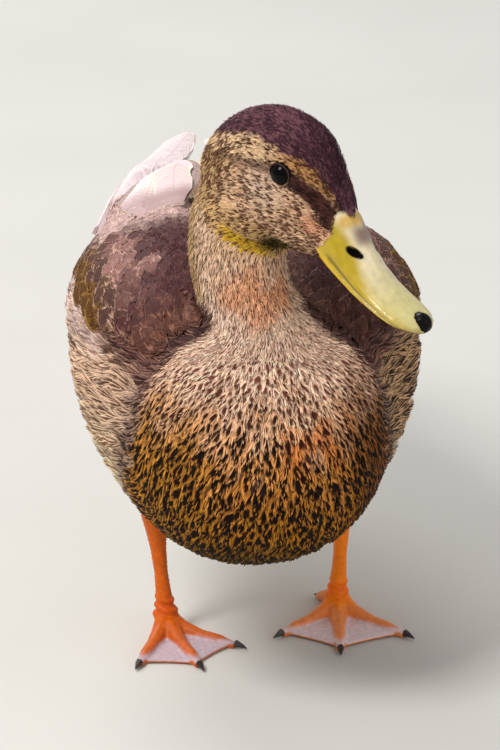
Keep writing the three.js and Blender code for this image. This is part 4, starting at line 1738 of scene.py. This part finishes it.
@dataclass
class Eyes:
    """Dark glossy eyes in soft lids, each lid a tube round the eye."""

    lid_radius: float = 4.95
    lid_thick: float = 0.5
    lid_out: float = 15.3
    lid_turns: int = 44
    tube_sides: int = 10
    swell: float = 1.15
    squash: float = 0.9
    eye_along: float = -31.6
    eye_up: float = 6.8

    def take(self, shape: bmesh.types.BMesh) -> tuple[np.ndarray, np.ndarray]:
        """Read a scratch shape and free it.

        Args:
            shape: Shape of triangles.

        Returns:
            Its points and its triangles.
        """
        points = np.array([vert.co for vert in shape.verts])
        faces = np.array([[vert.index for vert in face.verts] for face in shape.faces])
        shape.free()
        return points, faces

    def ball(self, side: Side, finish: Material) -> None:
        """Replace one eye by a smooth ball.

        Args:
            side: Which eye.
            finish: Wet dark material.
        """
        low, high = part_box(side.of("eye"))
        ball = bmesh.new()
        bmesh.ops.create_icosphere(ball, subdivisions=4,
                                   radius=(high - low).length / 2 / 3**0.5 * self.swell)
        bmesh.ops.translate(ball, verts=ball.verts, vec=(low + high) / 2)
        points, faces = self.take(ball)
        make_piece(side.of("eyeball"), finish, PLAN.from_model(points), faces,
                   colour(5, 3, 3), stands_for=[side.of("eye")])

    def lid(self, side: Side, finish: Material) -> None:
        """A soft rim round one eye, pale below and dark above.

        Args:
            side: Which eye.
            finish: Material of the rim.
        """
        ring = bmesh.new()
        bmesh.ops.create_circle(ring, segments=self.tube_sides, radius=self.lid_thick)
        bmesh.ops.rotate(ring, verts=ring.verts, cent=(0, 0, 0),
                         matrix=Matrix.Rotation(math.radians(90), 3, "X"))
        bmesh.ops.translate(ring, verts=ring.verts, vec=(self.lid_radius, 0, 0))
        bmesh.ops.spin(ring, geom=ring.verts[:] + ring.edges[:], cent=(0, 0, 0), axis=(0, 0, 1),
                       angle=math.tau, steps=self.lid_turns, use_merge=True, use_duplicate=False)
        bmesh.ops.remove_doubles(ring, verts=ring.verts, dist=1e-4)
        bmesh.ops.recalc_face_normals(ring, faces=ring.faces)
        bmesh.ops.triangulate(ring, faces=ring.faces)
        flat, faces = self.take(ring)
        points = np.array([HEAD.point(self.eye_along + x, self.eye_up + y * self.squash,
                                      side.value * (self.lid_out + z - 0.05 * x))
                           for x, y, z in flat])
        inner = ramp(np.hypot(flat[:, 0], flat[:, 1]), self.lid_radius + 0.2, self.lid_radius - 0.3)
        outer = mix(colour(176, 144, 122), colour(58, 38, 34), ramp(flat[:, 1], -3.2, 0.5))
        make_piece(side.of("eyelid"), finish, points, faces[:, ::side.value],
                   mix(outer, colour(22, 14, 13), inner))

    def build(self, wet: Material, soft: Material) -> None:
        """Build both eyes.

        Args:
            wet: Material of the balls.
            soft: Material of the lids.
        """
        for side in Side:
            self.ball(side, wet)
            self.lid(side, soft)


@dataclass
class Legs:
    """Orange shanks and webbed feet under one scaly skin each."""

    voxel: float = 0.8
    grow: float = 0.25
    sink: float = 0.15
    ankle_height: float = 13.5
    scute_pitch: float = 2.1
    scute_depth: float = 0.28
    fold_pitch: float = 4.2
    fold_depth: float = 0.5

    def tint(self, points: np.ndarray, normals: np.ndarray) -> np.ndarray:
        """Orange leg, paler toes and greyish lilac webs, with painted light on the bird's left leg.

        Args:
            points: Places on the leg.
            normals: Normals there.

        Returns:
            Linear colours.
        """
        height = points[:, 2] - PLAN.sole_level
        # Painted light: the bird's left leg, toes and web get brighter colours than the right ones.
        far = ramp(points[:, 0], -5, 5)
        base = mix(colour(206, 94, 2), colour(255, 134, 6), far)
        base = mix(base, base * 0.9, ramp(height, 30, 60))
        folds = ramp(np.abs(height - self.ankle_height), 5, 1)
        base = mix(base, base * (1.0, 0.8, 1.0), folds)
        toes = mix(colour(196, 94, 34), colour(240, 146, 84), far)
        base = mix(base, toes, ramp(height, 9.5, 6) * 0.8)
        web = ramp(height, 4.3, 3.0) * ramp(normals[:, 2], 0.35, 0.8)
        base = mix(base, mix(colour(192, 174, 184), colour(236, 216, 222), far), web)
        return mix(base, colour(196, 140, 110), ramp(normals[:, 2], -0.2, -0.6) * ramp(height, 3, 1))

    def relief(self, points: np.ndarray) -> np.ndarray:
        """Scutes of the shank and folds at the ankle.

        Args:
            points: Places on the leg.

        Returns:
            How far each moves outwards, in millimetres.
        """
        height = points[:, 2] - PLAN.sole_level
        over = height - self.ankle_height
        shank = ramp(over, 3, 8)
        wave = np.abs(np.sin(math.pi * (height + 0.25 * points[:, 0]) / self.scute_pitch)) - 0.6
        folds = ramp(np.abs(over), 6.5, 2)
        crease = np.cos(math.tau * (over + 0.2 * points[:, 0]) / self.fold_pitch)
        return self.scute_depth * shank * wave + self.fold_depth * folds * crease

    def build(self, finish: Material) -> None:
        """Make the two leg skins.

        Args:
            finish: Scaly skin.
        """
        for side in Side:
            names = [side.of("shank"), side.of("foot")]
            form = Form(names, self.voxel, self.grow, 4)
            form.points += form.normals * (self.relief(form.points) - self.sink)[:, None]
            form.points[:, 2] = np.maximum(form.points[:, 2], PLAN.sole_level)
            form.refresh()
            make_piece(side.of("leg_skin"), finish, form.points, form.triangles,
                       self.tint(form.points, form.normals), stands_for=names)


class Plumage:
    """Every region of the body's feathers."""

    eye_room = 6.0
    cover_floor = 157.0

    def __init__(self) -> None:
        """Note where the eyes are and where the tertials begin."""
        self.head, self.body = HeadMarks(), BodyMarks()
        self.eyes = [PLAN.from_model(sum(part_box(side.of("eye")), Vector()) / 2) for side in Side]
        self.fronts = [Bed(side.of("tertials")).front for side in Side]

    def is_head(self, points: np.ndarray) -> np.ndarray:
        """The head, where no eye or bill is in the way.

        Args:
            points: Places in the plan frame.

        Returns:
            Whether each is in it.
        """
        along, _, _ = HEAD.local(points).T
        free = (along < -1.5) & (head_share(points) > 0.5)
        for eye in self.eyes:
            free &= np.linalg.norm(points - eye, axis=1) > self.eye_room
        return free

    def is_neck(self, points: np.ndarray) -> np.ndarray:
        """The neck and the root of it on the trunk.

        Args:
            points: Places in the plan frame.

        Returns:
            Whether each is in it.
        """
        return ((head_share(points) <= 0.5) & (points[:, 2] > 158) & (self.body.split(points) < 1)
                & (points[:, 2] + 0.4 * (points[:, 1] + 80) > 160))

    def is_front(self, points: np.ndarray) -> np.ndarray:
        """Breast and fore belly.

        Args:
            points: Places in the plan frame.

        Returns:
            Whether each is in it.
        """
        return (head_share(points) <= 0.5) & ~self.is_neck(points) & (self.body.split(points) <= 2)

    def is_cover(self, points: np.ndarray) -> np.ndarray:
        """Mantle, scapulars and coverts, ahead of the tertials' roots.

        Args:
            points: Places in the plan frame.

        Returns:
            Whether each is in it.
        """
        side, back, height = points.T
        front = np.where(side < 0, *self.fronts) + 5
        floor = self.cover_floor - 0.05 * np.maximum(back, 0) + 0.1 * np.maximum(0, -back - 50)
        on_wing = (back < front) | ((np.abs(side) > 50) & (back < 104))
        return ((head_share(points) <= 0.5) & (self.body.split(points) > 7) & (height > floor)
                & on_wing & (side > -74.5))

    def is_rear(self, points: np.ndarray) -> np.ndarray:
        """Everything behind the breast that the broad feathers leave free.

        Args:
            points: Places in the plan frame.

        Returns:
            Whether each is in it.
        """
        return ((head_share(points) <= 0.5) & ~self.is_neck(points) & (self.body.split(points) > 0)
                & ~self.is_cover(points + np.array([0.0, -4.0, -3.0])))

    def broad(self) -> list[Cover]:
        """List the broad feathers of back and wings.

        Returns:
            The regions.
        """
        return [
            Cover("scapular_coat", "wing_plumage", length=20.0, half=4.6, spacing=5.2, seed=21,
                  inside=lambda points: self.is_cover(points) & (np.abs(points[:, 0]) < 47),
                  lift=0.35),
            Cover("covert_coat", "wing_plumage", length=21.0, half=6.4, spacing=6.6, seed=22,
                  inside=lambda points: self.is_cover(points) & (np.abs(points[:, 0]) > 45),
                  lift=0.6, root_shade=0.5),
        ]

    def small(self) -> list[Coat]:
        """List the small feathers over the outer form.

        Returns:
            The regions.
        """
        along, _, _ = HEAD.axes()
        return [
            Coat("head_coat", "head_plumage",
                 Cut(width=0.72, depth=0.9, lift=0.22, barbs=4, rings=3, cover=1.3, ragged=0.12),
                 length=3.8, spacing=0.9, seed=11, inside=self.is_head, marks=self.head.feathers,
                 axis=along, centre=HEAD.point(-38, -4, 0), wander=0.22,
                 scale=lambda points: 1 - 0.3 * ramp(HEAD.local(points)[:, 1], -21, -28)),
            Coat("neck_coat", "neck_plumage",
                 Cut(width=1.0, depth=1.2, lift=0.2, barbs=5, rings=3, cover=1.25, ragged=0.12),
                 length=5.2, spacing=1.3, seed=12, inside=self.is_neck, marks=self.body.feathers,
                 axis=(0, 0, 1), centre=(-8, -58, 190), wander=0.18),
            Coat("breast_coat", "breast_plumage",
                 Cut(width=2.7, depth=1.8, lift=0.15, barbs=10, cover=1.3, ragged=0.09),
                 length=9.0, spacing=2.9, seed=13, inside=self.is_front, marks=self.body.feathers,
                 wander=0.16, scale=lambda points: 0.84 + 0.18 * ramp(points[:, 2], 155, 115)),
            Coat("rear_coat", "wing_plumage",
                 Cut(width=4.4, depth=2.2, lift=0.2, barbs=20, cover=1.2, ragged=0.09),
                 length=17.5, spacing=5.2, seed=14, inside=self.is_rear,
                 marks=self.body.feathers, wander=0.14),
        ]

    def build(self, form: Form, finish: Material, smooth: Material) -> None:
        """Grow every region: the mask over the bill's root, the broad feathers, then the rest.

        Args:
            form: Outer surface of the bird.
            finish: Material of the small feathers.
            smooth: Material of the broad ones.
        """
        mask = Coat("mask_coat", "head_plumage",
                    Cut(width=0.75, depth=-0.15, lift=0.4, barbs=4, rings=3, cover=1.3, ragged=0.12),
                    length=4.0, spacing=0.8, seed=15, inside=self.head.over_bill,
                    marks=self.head.feathers, axis=HEAD.axes()[2], centre=HEAD.point(-2, -4, 0),
                    wander=0.2)
        mask.build(Form(["head", "bill_upper"], voxel=1.2, grow=0.15, rounds=3), finish)
        covered = Form(COVERED, voxel=2.0, grow=0.35, rounds=3)
        for cover in self.broad():
            cover.build(covered, smooth)
        fringe = Coat("fringe_coat", "wing_plumage",
                      Cut(width=4.0, depth=-0.3, lift=0.4, barbs=13, rings=3, cover=0.85, ragged=0.12),
                      length=11.0, spacing=3.6, seed=23, inside=self.is_cover,
                      marks=CoverMarks().fringe, wander=0.07)
        fringe.build(covered, finish)
        for coat in self.small():
            coat.build(form, finish)


@dataclass(frozen=True)
class Outline:
    """The bird's outer form, with the soft swell of its nape, in millimetres."""

    voxel: float = 2.0
    grow: float = 0.35
    rounds: int = 4
    nape: Triple = (-32.0, -56.0, 232.0)
    nape_reach: float = 28.0
    nape_rise: float = 2.7

    def form(self) -> Form:
        """Make the surface that feathers and skin follow.

        Returns:
            The surface.
        """
        made = Form(FLESH, self.voxel, self.grow, self.rounds)
        made.swell(self.nape, self.nape_reach, self.nape_rise)
        LOG.info("outer form: %d points", len(made.points))
        return made


def main() -> None:
    """Build the bird and its studio in order."""
    Studio().build()
    form = Outline().form()
    skin = TintedFinish("bird_skin", roughness=0.9)
    Skin().build(form, skin.material())
    feather = TintedFinish("feather", roughness=0.7, grain=0.2, specular=0.1)
    cover = VaneFinish("cover_vane", roughness=0.6, barbs=1100.0, specular=0.14, contrast=0.34)
    Plumage().build(form, feather.material(), cover.material())
    horn = TintedFinish("bill_gloss", roughness=0.32, grain=0.1, grain_scale=260, bump=0.1, coat=0.4,
                        through=0.1)
    nail = TintedFinish("nail_gloss", roughness=0.34, grain=0.2, bump=0.05, specular=0.1, coat=0.05)
    matt = TintedFinish("matt_dark", roughness=0.95, specular=0.02)
    Bill().build(horn.material(), nail.material(), matt.material())
    FlightFeathers().build(VaneFinish("vane").material())
    wet = TintedFinish("wet_eye", roughness=0.05, grain=0.05, bump=0.0, specular=0.1)
    lid = TintedFinish("eyelid", roughness=0.55, grain=0.2, specular=0.15)
    Eyes().build(wet.material(), lid.material())
    scaly = TintedFinish("leg_skin", roughness=0.46, grain=0.14, grain_scale=500, bump=0.4,
                         specular=0.25, through=0.02)
    Legs().build(scaly.material())
    SolidFinish("claw_horn", (30, 24, 22), (60, 48, 42), scale=400, roughness=0.4).apply("claw")
    # The primaries' pale colour is partly painted highlight of sunlight; the tail's pale colour is its
    # own.
    SolidFinish("pale_vane", (214, 200, 200), (236, 226, 226), stretch=(6, 1, 6)).apply(
        "primaries", "tail")
    SolidFinish("rose_vane", (150, 128, 126), (186, 160, 152), stretch=(6, 1, 6)).apply("tertials")


if __name__ == "__main__":
    logging.basicConfig(level=logging.INFO, format="%(name)s %(message)s")
    main()
